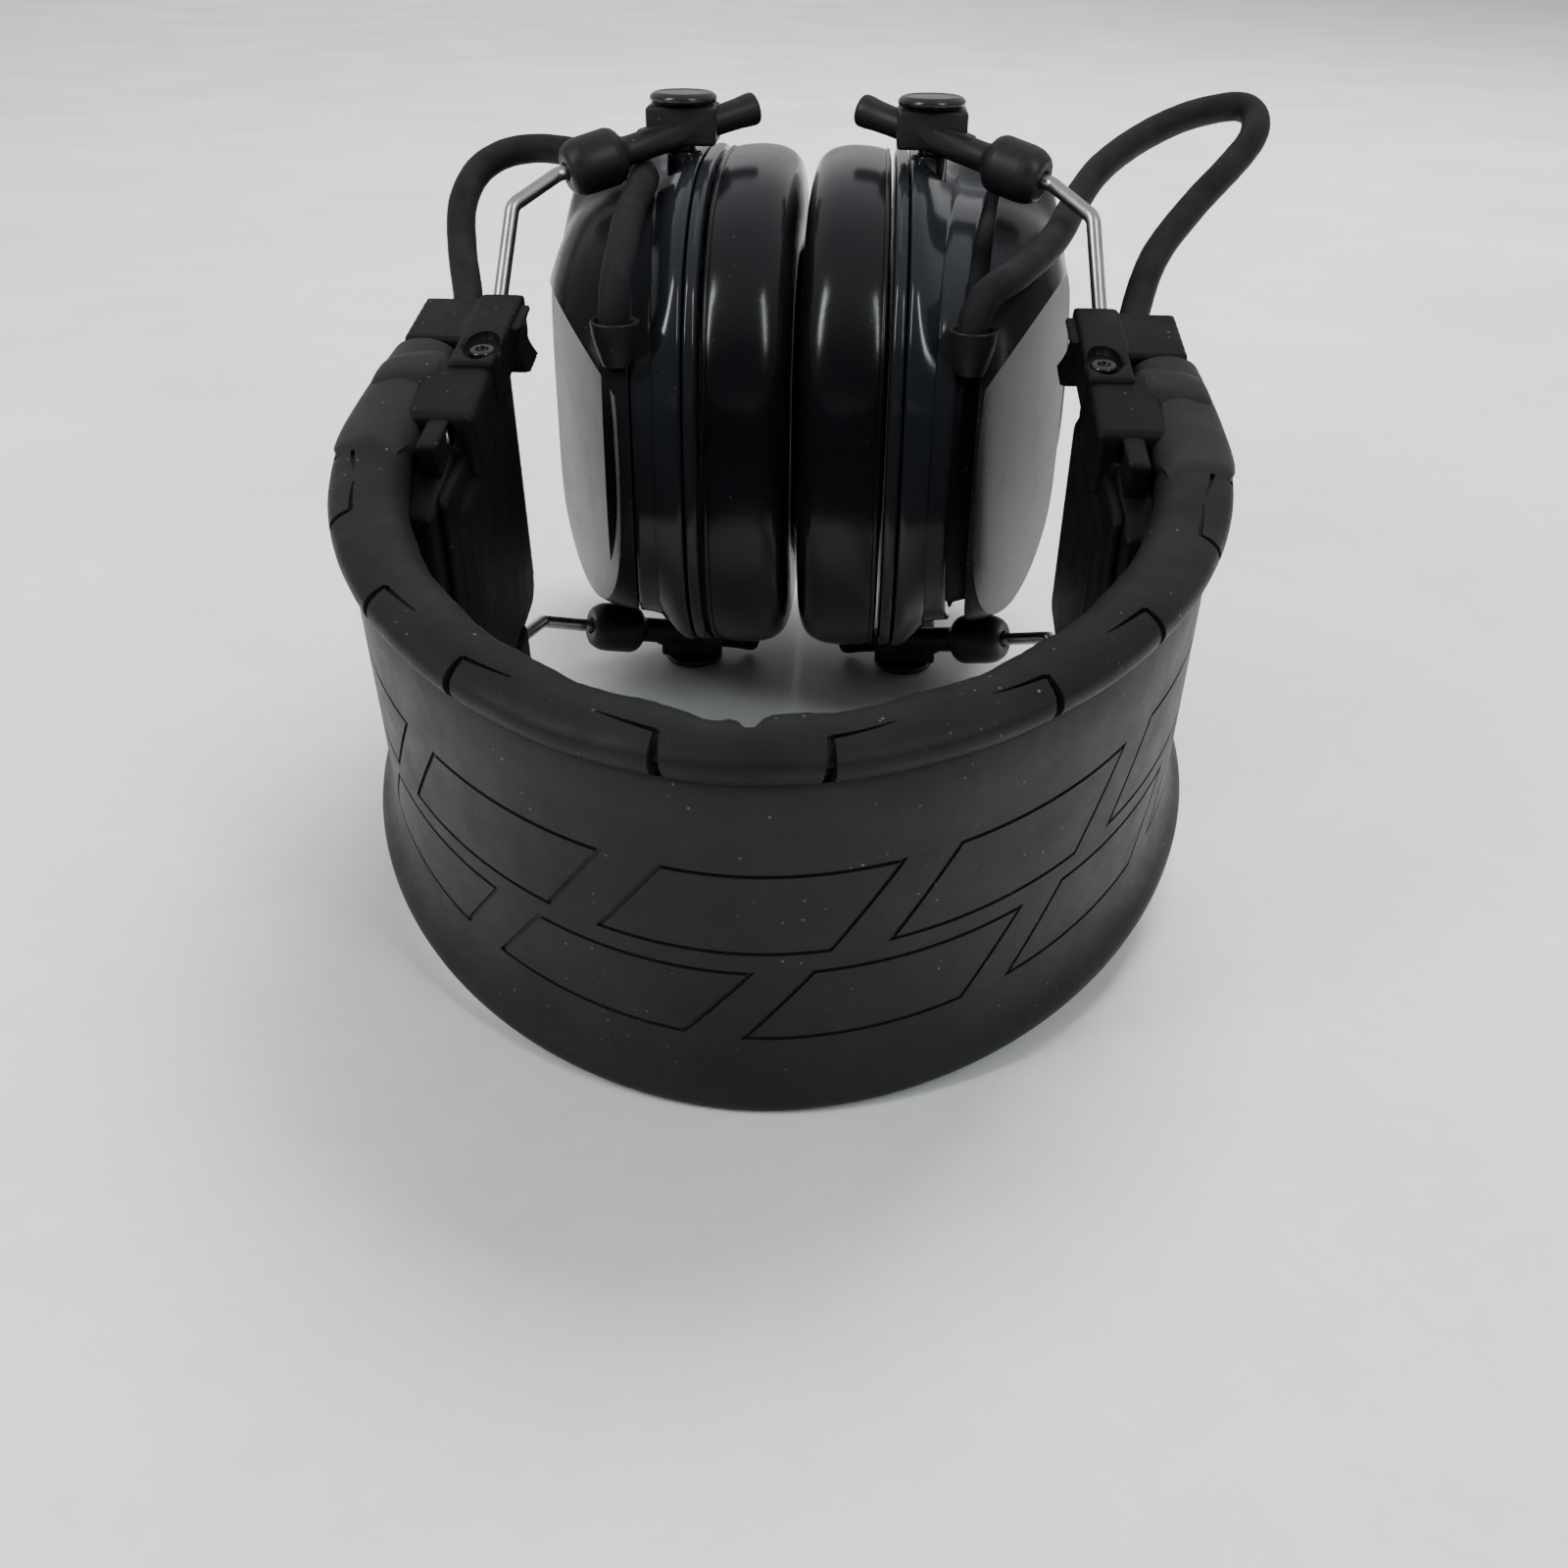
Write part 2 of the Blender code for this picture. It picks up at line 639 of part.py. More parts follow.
def filleted(points, radius, steps=4):
    """Replaces each inner corner of a polyline with an arc."""
    path = [Vector(points[0])]
    for before, corner, after in zip(points, points[1:], points[2:]):
        corner = Vector(corner)
        a = (Vector(before) - corner).normalized()
        b = (Vector(after) - corner).normalized()
        half = a.angle(b) / 2
        if half > math.radians(88):
            path.append(corner)
            continue
        cut = radius / math.tan(half)
        centre = corner + (a + b).normalized() * (radius / math.sin(half))
        first, last = corner + a * cut - centre, corner + b * cut - centre
        path += [centre + radius * first.slerp(last, k / steps).normalized() for k in range(steps + 1)]
    path.append(Vector(points[-1]))
    return path


def wire_mesh(path, radius, sides=10):
    """A round wire along a polyline, its section carried without twist."""
    rings = []
    u = None
    for i, p in enumerate(path):
        d = (path[min(i + 1, len(path) - 1)] - path[max(i - 1, 0)]).normalized()
        u = frame_along(d)[0] if u is None else (u - d * u.dot(d)).normalized()
        v = d.cross(u)
        turns = [2 * math.pi * k / sides for k in range(sides)]
        rings.append([p + radius * (math.cos(t) * u + math.sin(t) * v) for t in turns])
    return loft(rings)


def bar_direction():
    return (BAR_INNER_POINT - COLLAR_POINT).normalized()


def flipped(point, up):
    x, y, z = point
    return Vector((x, y, up * z))


def band_matrix():
    """Places the headband's frame in the upright frame: tipped, with the crown's lip level with the caps."""
    lip_y, lip_z = LIP_BOTTOM
    lip = lip_y * math.sin(REST_TILT) + lip_z * math.cos(REST_TILT)
    return Matrix.Translation((0, 0, -PIVOT_CAP_Z[1] - lip)) @ Matrix.Rotation(REST_TILT, 4, "X")


def fork_path():
    """Right-hand fork: from inside the upper collar, down the leg, across the base and out to the lower collar."""
    inward = bar_direction()
    band = band_matrix()
    exit_y = {"upper": BRACKET_END_Y + 0.5 * MM, "lower": LOWER_LEG_EXIT_Y}
    ends = []
    for level, up in LEVELS.items():
        inside = flipped(COLLAR_POINT + inward * (SOCKET_DEPTH - GAP), up)
        mouth = flipped(COLLAR_POINT - inward * 1.6 * MM, up)
        exit_point = band @ Vector((WIRE_X, exit_y[level], up * WIRE_LEG_Z))
        base = band @ Vector((WIRE_X, WIRE_BASE_Y, up * WIRE_LEG_Z))
        ends.append([inside, mouth, flipped(WIRE_BEND, up), exit_point, base])
    return filleted(ends[0] + ends[1][::-1], 2.6 * MM)


def bar_mesh(up):
    """One pivot bar: a flared inner end, a slim rod, a barrel collar that holds the wire, and the pivot block."""
    length = (COLLAR_POINT - BAR_INNER_POINT).length
    collar = length - COLLAR_LENGTH
    profile = [
        (0, 2.4 * MM),
        (0.6 * MM, 2.8 * MM),
        (2.4 * MM, 2.75 * MM),
        (6.5 * MM, BAR_RADIUS),
        (collar - 1.5 * MM, BAR_RADIUS),
        (collar, 3.9 * MM),
        (collar + 2 * MM, COLLAR_RADIUS),
        (collar + 7 * MM, COLLAR_RADIUS),
        (length - 0.8 * MM, 4.1 * MM),
        (length, 3.4 * MM),
        (length, WIRE_DIAMETER / 2 + GAP),
        (length - SOCKET_DEPTH, WIRE_DIAMETER / 2 + GAP),
    ]
    rod_part = turned(BAR_INNER_POINT, COLLAR_POINT, profile, 14)
    body = combine(rod_part, [box(PIVOT_BLOCK_LOW, PIVOT_BLOCK_HIGH)])
    hole = rod(
        (PIVOT_X, PIVOT_Y, PIVOT_BLOCK_LOW.z - 2 * MM),
        (PIVOT_X, PIVOT_Y, PIVOT_BLOCK_HIGH.z + 3 * MM),
        PIVOT_PIN_RADIUS + GAP,
    )
    head_room = rod(
        (PIVOT_X, PIVOT_Y, PIVOT_BLOCK_HIGH.z),
        (PIVOT_X, PIVOT_Y, PIVOT_BLOCK_HIGH.z + 6 * MM),
        PIVOT_CAP_RADIUS + 2 * GAP,
    )
    body = cut_away(body, hole, head_room)
    if up < 0:
        body.transform(Matrix.Scale(-1, 4, (0, 0, 1)))
    return body


def build_fork(side_name, side, parent):
    wire = on_side(wire_mesh(fork_path(), WIRE_DIAMETER / 2), side)
    origin = band_matrix() @ Vector((side * WIRE_X, WIRE_BASE_Y, 0))
    place(f"wire_fork_{side_name}", wire, "steel_wire", parent, origin)
    for level, up in LEVELS.items():
        place(f"pivot_bar_{level}_{side_name}", on_side(bar_mesh(up), side), "matt_plastic", parent)


# ---------------------------------------------------------------- ear cups


def eased(part):
    """A smooth step from 0 to 1."""
    part = max(0.0, min(1.0, part))
    return part * part * (3 - 2 * part)


def swelled(x, y, z):
    """The height z at (x, y) with the cup's fuller rear shoulders, above and below."""
    reach = (x - SWELL_START[0], y - SWELL_START[1], abs(z) - SWELL_START[2])
    share = math.prod(eased(part / over) for part, over in zip(reach, SWELL_RUN))
    return z + math.copysign(CUP_SWELL * share, z)


def cup_ring(station, centre_y=CUP_Y):
    """One superellipse ring of a cup, from (distance from mid-plane, growth with y, half length, half width)."""
    x, slope, half_length, half_width = station
    ring = []
    for k in range(CUP_POINTS):
        t = 2 * math.pi * k / CUP_POINTS
        c, s = math.cos(t), math.sin(t)
        y = centre_y + half_length * MM * math.copysign(abs(c) ** (2 / CUP_POWER), c)
        z = half_width * MM * math.copysign(abs(s) ** (2 / CUP_POWER), s)
        ring.append((x * MM + slope * (y - CUP_Y), y, swelled(x * MM, y, z)))
    return ring


def cup_loft(profile, closed=False):
    return loft([cup_ring(station) for station in profile], closed)


def gland_room():
    x, y = GLAND_PLACE
    return rod((x, y, GLAND_Z[0] - GAP), (x, y, GLAND_Z[1] + 3 * MM), GLAND_RADIUS + GAP)


def shell_mesh(side_name):
    """The cup's inner housing, open towards the ear, with its two pivot bosses."""
    body = cup_loft(SHELL_INSIDE + SHELL_OUTSIDE)
    bosses = []
    holes = []
    for up in (-1, 1):
        low, high = (up * z for z in PIVOT_BOSS_Z)
        bosses.append(rod((PIVOT_X, PIVOT_Y, low), (PIVOT_X, PIVOT_Y, high), PIVOT_BOSS_RADIUS))
        bottom = up * (PIVOT_PIN_END_Z - GAP)
        holes.append(
            rod((PIVOT_X, PIVOT_Y, bottom), (PIVOT_X, PIVOT_Y, high + up * MM), PIVOT_PIN_RADIUS + GAP, 12)
        )
    body = combine(body, bosses)
    outside = END_WALL_Y + 3 * MM
    inside = END_WALL_Y - 5 * MM
    if side_name == "left":
        for z in button_places():
            holes.append(rod((CONTROL_X, inside, z), (CONTROL_X, outside, z), BUTTON_RADIUS + GAP))
    else:
        holes.append(
            rod((CONTROL_X, inside, SOCKET_PLACE_Z), (CONTROL_X, outside, SOCKET_PLACE_Z), 3.5 * MM)
        )
    return cut_away(body, *holes, gland_room())


def button_places():
    return [BUTTON_PITCH * k for k in (-1, 0, 1)]


def wall_y(z, half_length, half_width):
    """Where a superellipse wall of the cup's far end stands at height z."""
    ratio = abs(z) / (half_width * MM)
    return CUP_Y + half_length * MM * (1 - ratio**CUP_POWER) ** (1 / CUP_POWER)


def lift(mesh):
    """Turns the right-hand outer cover about its far edge, so that its near edge stands off the shell."""
    x, y = RIGHT_COVER_HINGE
    there = Matrix.Translation((x, y, 0))
    mesh.transform(there @ Matrix.Rotation(RIGHT_COVER_LIFT, 4, "Z") @ there.inverted())
    return mesh


def hatch_window(shrink):
    """The end window of the right cover, open at the domed face so that the hatch swings clear, less a gap all round."""
    x0, x1 = HATCH_X
    z = HATCH_HALF_WIDTH - shrink
    return box((x0 + shrink, HATCH_START_Y, -z), (x1 - shrink, HATCH_START_Y + 25 * MM, z))


def facet_wedge(side_name, inset):
    """The wedge that leaves a flat facet and, above its crease, a sloping ledge. The inset one is for the inner side."""
    near, far, foot = (Vector(p) * MM for p in FACETS[side_name])
    along = (far - near).normalized()
    down = foot - near
    down = (down - along * down.dot(along)).normalized()
    outward = along.cross(down).normalized()
    if outward.x < 0:
        outward = -outward
    near = near - outward * inset - down * inset * math.tan(LEDGE_LEAN / 2)
    reach = 90 * MM
    rings = []
    for end in (-1, 1):
        base = near + along * reach * end
        lean = outward * reach - down * reach * math.tan(LEDGE_LEAN)
        rings.append([base, base + down * reach, base + (down + outward) * reach, base + lean])
    return loft(rings)


def cover_mesh(side_name):
    """The domed outer housing of a cup. The right one stands off on its posts and has a battery window."""
    outer = cup_loft(COVER_OUTSIDE)
    inner = cup_loft(COVER_INSIDE + [COVER_MOUTH])
    if side_name == "right":
        outer, inner = lift(outer), lift(inner)
    outer = cut_away(outer, facet_wedge(side_name, 0))
    inner = cut_away(inner, facet_wedge(side_name, FACET_WALL))
    body = cut_away(outer, inner, gland_room())
    return cut_away(body, hatch_window(0)) if side_name == "right" else body


def hatch_mesh():
    """The battery hatch: the piece of the cover's end and dome that fills the window, with its hinge barrel."""
    lid = lift(cup_loft(COVER_INSIDE + COVER_OUTSIDE))
    lid = combine(lid, [hatch_window(GAP)], "INTERSECT")
    x, y = HATCH_HINGE
    z = HATCH_HALF_WIDTH - 5 * MM
    tab = box((x - 0.6 * MM, y - 2.4 * MM, -z), (x + 2.4 * MM, y + 0.4 * MM, z))
    tab_clear = box((x - 2 * MM, y - 4 * MM, -z - MM), (HATCH_X[0] + GAP, y - 1.3 * MM, z + MM))
    barrel = rod((x, y, -z), (x, y, z), 1.1 * MM, 12)
    return combine(lid, [cut_away(tab, tab_clear), barrel])


def pin_mesh(up):
    """A pivot pin: a round cap over the bar's block and a shank down into the shell's boss."""
    low, high = PIVOT_CAP_Z
    radius = PIVOT_CAP_RADIUS
    profile = [
        (0, PIVOT_PIN_RADIUS),
        (low - PIVOT_PIN_END_Z, PIVOT_PIN_RADIUS),
        (low - PIVOT_PIN_END_Z, radius - 0.3 * MM),
        (high - PIVOT_PIN_END_Z - 1.0 * MM, radius),
        (high - PIVOT_PIN_END_Z, radius - 0.9 * MM),
    ]
    return turned((PIVOT_X, PIVOT_Y, up * PIVOT_PIN_END_Z), (PIVOT_X, PIVOT_Y, up * high), profile, 24)


def gland_mesh():
    """The cord gland: a ringed sleeve at the seam, open at the top for the cord."""
    x, y = GLAND_PLACE
    low, high = GLAND_Z
    length = high - low
    bore = CORD_DIAMETER / 2 + GAP
    profile = [
        (0, 3.4 * MM),
        (0.8 * MM, 4.1 * MM),
        (length - 3.4 * MM, 4.2 * MM),
        (length - 2.8 * MM, GLAND_RADIUS),
        (length - 0.6 * MM, GLAND_RADIUS),
        (length, GLAND_RADIUS - 0.5 * MM),
        (length, bore),
        (1.2 * MM, bore),
    ]
    return turned((x, y, low), (x, y, high), profile, 16)


def speaker_mesh():
    start = Vector((SPEAKER_START_X, CUP_Y, 0))
    profile = [(a * MM, r * MM) for a, r in SPEAKER_PROFILE]
    return turned(start, start + Vector((6 * MM, 0, 0)), profile, 20)


def build_cup(side_name, side, parent):
    pivot = (side * PIVOT_X, PIVOT_Y, 0)
    pieces = [
        ("cup_shell", shell_mesh(side_name), "shell_plastic"),
        ("outer_cover", cover_mesh(side_name), "shell_plastic"),
        ("seal_ring", cup_loft(SEAL_RING_PROFILE, closed=True), "shell_plastic"),
        ("ear_cushion", cup_loft(CUSHION_PROFILE, closed=True), "cushion_vinyl"),
        ("foam_liner", cup_loft(LINER_PROFILE), "grey_foam"),
        ("speaker", speaker_mesh(), "matt_plastic"),
        ("cord_gland", gland_mesh(), "matt_plastic"),
        ("pivot_pin_upper", pin_mesh(1), "matt_plastic"),
        ("pivot_pin_lower", pin_mesh(-1), "matt_plastic"),
    ]
    trim = loft([cup_ring(station, TRIM_Y) for station in TRIM_PROFILE])
    pieces.append(("trim_plate", lift(trim) if side > 0 else trim, "trim_grey"))
    for name, mesh, slot in pieces:
        place(f"{name}_{side_name}", on_side(mesh, side), slot, parent, pivot)


# ---------------------------------------------------------------- controls, electronics and batteries


def button_mesh(z):
    """A push button: a cap through the shell's end wall and a flange that keeps it in."""
    outside = wall_y(z, 49.9, 42.8) + BUTTON_PROUD
    flange = outside - wall_y(abs(z) + BUTTON_FLANGE_RADIUS, 47.5, 36.6) + GAP
    profile = [
        (0, 2.8 * MM),
        (0.4 * MM, 3.5 * MM),
        (1.2 * MM, BUTTON_RADIUS),
        (flange, BUTTON_RADIUS),
        (flange, BUTTON_FLANGE_RADIUS),
        (flange + 1 * MM, BUTTON_FLANGE_RADIUS),
    ]
    return turned((CONTROL_X, outside, z), (CONTROL_X, outside - 5 * MM, z), profile, 16)


def socket_mesh():
    """The audio input socket, with a bore for a 3.5 mm plug."""
    profile = [(7.5, 1.8), (-0.9, 1.8), (-0.9, 4.0), (-0.4, 4.3), (0.3, 4.3), (0.3, 3.2), (8.6, 3.2)]
    profile = [(a * MM, r * MM) for a, r in profile]
    face = END_WALL_Y + 0.6 * MM
    start = (CONTROL_X, face, SOCKET_PLACE_Z)
    return turned(start, (CONTROL_X, face - 9 * MM, SOCKET_PLACE_Z), profile, 16)


def sloped_box(x_span, y_span, z_half, slope):
    """A box whose two large faces lean with the cup's seam."""
    rings = []
    for z in (-z_half, z_half):
        corners = [(x_span[0], y_span[0]), (x_span[1], y_span[0]), (x_span[1], y_span[1]), (x_span[0], y_span[1])]
        rings.append([(x + slope * (y - CUP_Y), y, z) for x, y in corners])
    return loft(rings)


def cell_ends(z, offset=0.0):
    x, y = CELL_START
    start = Vector((x, y, z))
    along = Vector((CELL_SLOPE, 1, 0)).normalized()
    return start + along * offset, start + along * (AAA_LENGTH + offset)


def cell_mesh(z):
    """An AAA cell with its raised positive contact."""
    start, end = cell_ends(z)
    length = AAA_LENGTH
    profile = [
        (0, 4.7 * MM),
        (0.4 * MM, AAA_RADIUS),
        (length - 1.6 * MM, AAA_RADIUS),
        (length - 0.9 * MM, 4.8 * MM),
        (length - 0.9 * MM, 1.9 * MM),
        (length, 1.8 * MM),
    ]
    return turned(start, end, profile, 18)


def contact_mesh(at_end):
    """A thin plate that bridges the two cells at one end."""
    gap = GAP + 0.1 * MM
    along = Vector((CELL_SLOPE, 1, 0)).normalized()
    start, end = cell_ends(0)
    face = end + along * gap if at_end else start - along * gap
    thick = along * (0.6 * MM if at_end else -0.6 * MM)
    across = Vector((1, -CELL_SLOPE, 0)).normalized() * 4 * MM
    rings = []
    for z in (-CELL_Z - 4 * MM, CELL_Z + 4 * MM):
        rim = Vector((0, 0, z))
        rings.append([p + rim for p in (face - across, face + across, face + across + thick, face - across + thick)])
    return loft(rings)


def build_left_contents(parent):
    for name, z in zip(BUTTON_NAMES, button_places()):
        origin = (-CONTROL_X, END_WALL_Y, z)
        place(name, on_side(button_mesh(z), -1), "rubber", parent, origin)
    board = sloped_box(BOARD_X, BOARD_SPAN_Y, BOARD_HALF_WIDTH, BOARD_SLOPE)
    place("circuit_board", on_side(board, -1), "circuit_green", parent)
    x, y = ROD_CENTRE
    antenna = rod((x, y, -ROD_HALF_LENGTH), (x, y, ROD_HALF_LENGTH), ROD_RADIUS)
    place("ferrite_antenna", on_side(antenna, -1), "ferrite", parent)


def build_right_contents(parent):
    place("audio_socket", socket_mesh(), "matt_plastic", parent)
    for number, z in ((1, -CELL_Z), (2, CELL_Z)):
        place(f"battery_cell_{number}", cell_mesh(z), "battery_label", parent)
    place("battery_contact_near", contact_mesh(False), "spring_steel", parent)
    place("battery_contact_far", contact_mesh(True), "spring_steel", parent)
    place("battery_hatch", hatch_mesh(), "shell_plastic", parent, (*HATCH_HINGE, 0))


# ---------------------------------------------------------------- cords


def build_cords(side_name, side, parent):
    """The cord from the bracket's outlet to the cup's gland, as two lengths that meet behind the collar."""
    routes = CORD_ROUTES[side_name]
    points = [Vector((side * x, y, z)) * MM for x, y, z in routes["outer"] + routes["inner"][1:]]
    meeting = points[len(routes["outer"]) - 1]
    path = smooth_route(points, CORD_SPACING)
    k = min(range(len(path)), key=lambda i: (path[i] - meeting).length)
    along = (path[k + 1] - path[k - 1]).normalized() * CORD_CUT
    tube(f"cord_outer_{side_name}", path[:k] + [path[k] - along], CORD_DIAMETER, "cord_jacket", parent)
    tube(f"cord_inner_{side_name}", [path[k] + along] + path[k + 1 :], CORD_DIAMETER, "cord_jacket", parent)


# ---------------------------------------------------------------- rest attitude


def settle(rest):
    """Puts the middle of the footprint at the origin and the lowest point at z = 0."""
    bpy.context.view_layer.update()
    points = []
    for obj in bpy.data.objects:
        if obj.type == "MESH":
            points += [obj.matrix_world @ v.co for v in obj.data.vertices]
    low = Vector(min(p[i] for p in points) for i in range(3))
    high = Vector(max(p[i] for p in points) for i in range(3))
    rest.location = (-(low.x + high.x) / 2, -(low.y + high.y) / 2, -low.z)
    bpy.context.view_layer.update()


def frame_empty(name, parent=None):
    empty = bpy.data.objects.new(name, None)
    bpy.context.scene.collection.objects.link(empty)
    empty.parent = parent
    return empty


def main():
    clear_scene()
    rest = frame_empty("upright_frame")
    band = frame_empty("band_frame", rest)
    band.matrix_basis = band_matrix()
    build_headband(band)
    for side_name, side in SIDES.items():
        build_bracket(side_name, side, band)
        build_fork(side_name, side, rest)
        build_cup(side_name, side, rest)
        build_cords(side_name, side, rest)
    build_left_contents(rest)
    build_right_contents(rest)
    settle(rest)


main()
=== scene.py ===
"""Radio headphones: the fine surface, materials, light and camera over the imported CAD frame."""
import json
import math

import bmesh
import bpy
import numpy as np
from mathutils import Matrix, Vector


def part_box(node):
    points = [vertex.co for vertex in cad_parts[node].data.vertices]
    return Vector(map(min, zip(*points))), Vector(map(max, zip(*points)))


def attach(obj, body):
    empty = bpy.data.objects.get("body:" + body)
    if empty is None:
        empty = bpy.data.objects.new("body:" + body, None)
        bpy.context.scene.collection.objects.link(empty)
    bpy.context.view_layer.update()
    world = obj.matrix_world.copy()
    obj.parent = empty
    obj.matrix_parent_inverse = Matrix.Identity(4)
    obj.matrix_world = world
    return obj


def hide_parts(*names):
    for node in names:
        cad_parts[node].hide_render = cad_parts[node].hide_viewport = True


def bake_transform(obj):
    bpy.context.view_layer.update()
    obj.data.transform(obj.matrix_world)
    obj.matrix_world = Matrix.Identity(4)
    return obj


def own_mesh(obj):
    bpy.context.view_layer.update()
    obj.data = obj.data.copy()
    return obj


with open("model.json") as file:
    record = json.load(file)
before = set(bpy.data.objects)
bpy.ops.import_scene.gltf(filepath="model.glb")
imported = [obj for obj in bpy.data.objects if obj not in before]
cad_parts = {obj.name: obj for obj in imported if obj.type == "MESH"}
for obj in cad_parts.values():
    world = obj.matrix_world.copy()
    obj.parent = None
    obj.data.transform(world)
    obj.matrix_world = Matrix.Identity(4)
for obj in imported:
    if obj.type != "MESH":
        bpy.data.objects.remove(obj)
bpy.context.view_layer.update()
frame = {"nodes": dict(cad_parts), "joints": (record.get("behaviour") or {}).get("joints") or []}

# ---------------------------------------------------------------- frames
# UP is the cups' upright frame and BAND the tipped headband's frame, both in millimetres.
joints = {joint["name"]: joint for joint in frame["joints"]}
pivot_right = Vector(joints["pivot_right"]["pos_m"])
slide_axis = Vector(joints["slide_right"]["axis"])
TILT = math.atan2(slide_axis.z, slide_axis.y)
PIVOT_X, PIVOT_Y = 22.0, 143.5
CAP_TOP_Z = 55.2
LIP = (-0.4, -30.1)
UP = Matrix.Translation((0, pivot_right.y - PIVOT_Y / 1000, pivot_right.z)) @ Matrix.Scale(0.001, 4)
DROP = -CAP_TOP_Z - (LIP[0] * math.sin(TILT) + LIP[1] * math.cos(TILT))
TIP = Matrix.Translation((0, 0, DROP)) @ Matrix.Rotation(TILT, 4, "X")
BAND = UP @ TIP
SIDES = {"left": -1, "right": 1}
LEVELS = {"upper": 1, "lower": -1}


def added(name, data):
    """A new object in the scene that holds data."""
    obj = bpy.data.objects.new(name, data)
    bpy.context.scene.collection.objects.link(obj)
    return obj


# ---------------------------------------------------------------- camera
CAMERA_PLACE = (12.3, -157.0, 86.6)
CAMERA_PITCH, CAMERA_YAW, CAMERA_ROLL = (math.radians(a) for a in (29.74, -2.86, 0.67))


def build_camera():
    data = bpy.data.cameras.new("camera")
    data.lens = 36
    data.sensor_width = 36
    data.clip_start = 0.01
    data.clip_end = 50
    camera = added("camera", data)
    level = math.cos(CAMERA_PITCH)
    forward = Vector((math.sin(CAMERA_YAW) * level, math.cos(CAMERA_YAW) * level, -math.sin(CAMERA_PITCH)))
    side = forward.cross(Vector((0, 0, 1))).normalized()
    top = side.cross(forward)
    right = math.cos(CAMERA_ROLL) * side + math.sin(CAMERA_ROLL) * top
    up = -math.sin(CAMERA_ROLL) * side + math.cos(CAMERA_ROLL) * top
    turn = Matrix((right, up, -forward)).transposed().to_4x4()
    camera.matrix_world = Matrix.Translation(UP @ Vector(CAMERA_PLACE)) @ turn
    bpy.context.scene.camera = camera


build_camera()


# ---------------------------------------------------------------- materials
def new_material(name):
    made = bpy.data.materials.new(name)
    made.use_nodes = True
    return made, made.node_tree, made.node_tree.nodes["Principled BSDF"]


def feed(made, inputs):
    """Gives each input of a node its value, or the socket that drives it."""
    for key, value in inputs.items():
        if isinstance(value, bpy.types.NodeSocket):
            made.id_data.links.new(value, made.inputs[key])
        else:
            made.inputs[key].default_value = value


def node(tree, kind, inputs=None, **settings):
    made = tree.nodes.new(kind)
    for key, value in settings.items():
        setattr(made, key, value)
    feed(made, inputs or {})
    return made


def noise_at(tree, coords, scale, detail=4.0, roughness=0.55):
    inputs = {"Vector": coords, "Scale": scale, "Detail": detail, "Roughness": roughness}
    return node(tree, "ShaderNodeTexNoise", inputs).outputs["Fac"]


def ramp(tree, source, stops):
    made = node(tree, "ShaderNodeValToRGB", {"Fac": source})
    elements = made.color_ramp.elements
    while len(elements) < len(stops):
        elements.new(0.5)
    for element, (place, colour) in zip(elements, stops):
        element.position = place
        element.color = (*colour, 1)
    return made.outputs["Color"]


def map_range(tree, source, low, high, out_low, out_high):
    inputs = {"Value": source, "From Min": low, "From Max": high, "To Min": out_low, "To Max": out_high}
    return node(tree, "ShaderNodeMapRange", inputs).outputs["Result"]


def mixed(tree, share, first, second):
    inputs = {"Factor": share, "A": first, "B": second}
    return node(tree, "ShaderNodeMix", inputs, data_type="RGBA").outputs["Result"]


def add_bump(shader, *heights):
    """Chains (height socket, strength, distance) bumps into the shader's normal."""
    chain = {}
    for height, strength, distance in heights:
        inputs = {"Height": height, "Strength": strength, "Distance": distance, **chain}
        chain = {"Normal": node(shader.id_data, "ShaderNodeBump", inputs).outputs["Normal"]}
    feed(shader, chain)


def scaled_coords(tree, scale=(1, 1, 1)):
    coords = node(tree, "ShaderNodeTexCoord").outputs["Object"]
    return node(tree, "ShaderNodeMapping", {"Vector": coords, "Scale": scale}).outputs["Vector"]


DUST_COLOUR = (0.34, 0.33, 0.31, 1)
CELL_COPPER_LENGTH = 0.013


def moulded(name, dark, light, roughness, grain, grain_depth, dust=0.0, patch=60, wave=0.0, specular=0.5):
    """Moulded rubber or plastic: fine grain, cloudy colour, a varying gloss and specks of dust."""
    made, tree, shader = new_material(name)
    coords = scaled_coords(tree)
    colour = ramp(tree, noise_at(tree, coords, patch, 6, 0.6), [(0.3, dark), (0.7, light)])
    if dust:
        specks = node(tree, "ShaderNodeTexVoronoi", {"Vector": coords, "Scale": 520.0, "Randomness": 1.0})
        spots = map_range(tree, specks.outputs["Distance"], 0.05, 0.13, 1.0, 0.0)
        where = map_range(tree, noise_at(tree, coords, 95, 5, 0.8), 0.5, 0.66, 0.0, dust)
        share = node(tree, "ShaderNodeMath", {0: spots, 1: where}, operation="MULTIPLY").outputs[0]
        colour = mixed(tree, share, colour, DUST_COLOUR)
    gloss = map_range(tree, noise_at(tree, coords, patch * 2.3, 8, 0.7), 0.3, 0.7, *roughness)
    feed(shader, {"Base Color": colour, "Roughness": gloss, "Specular IOR Level": specular})
    heights = [(noise_at(tree, coords, grain, 3, 0.6), 0.5, grain_depth)]
    if wave:
        heights.append((noise_at(tree, coords, 70, 2, 0.4), 0.6, wave))
    add_bump(shader, *heights)
    return made


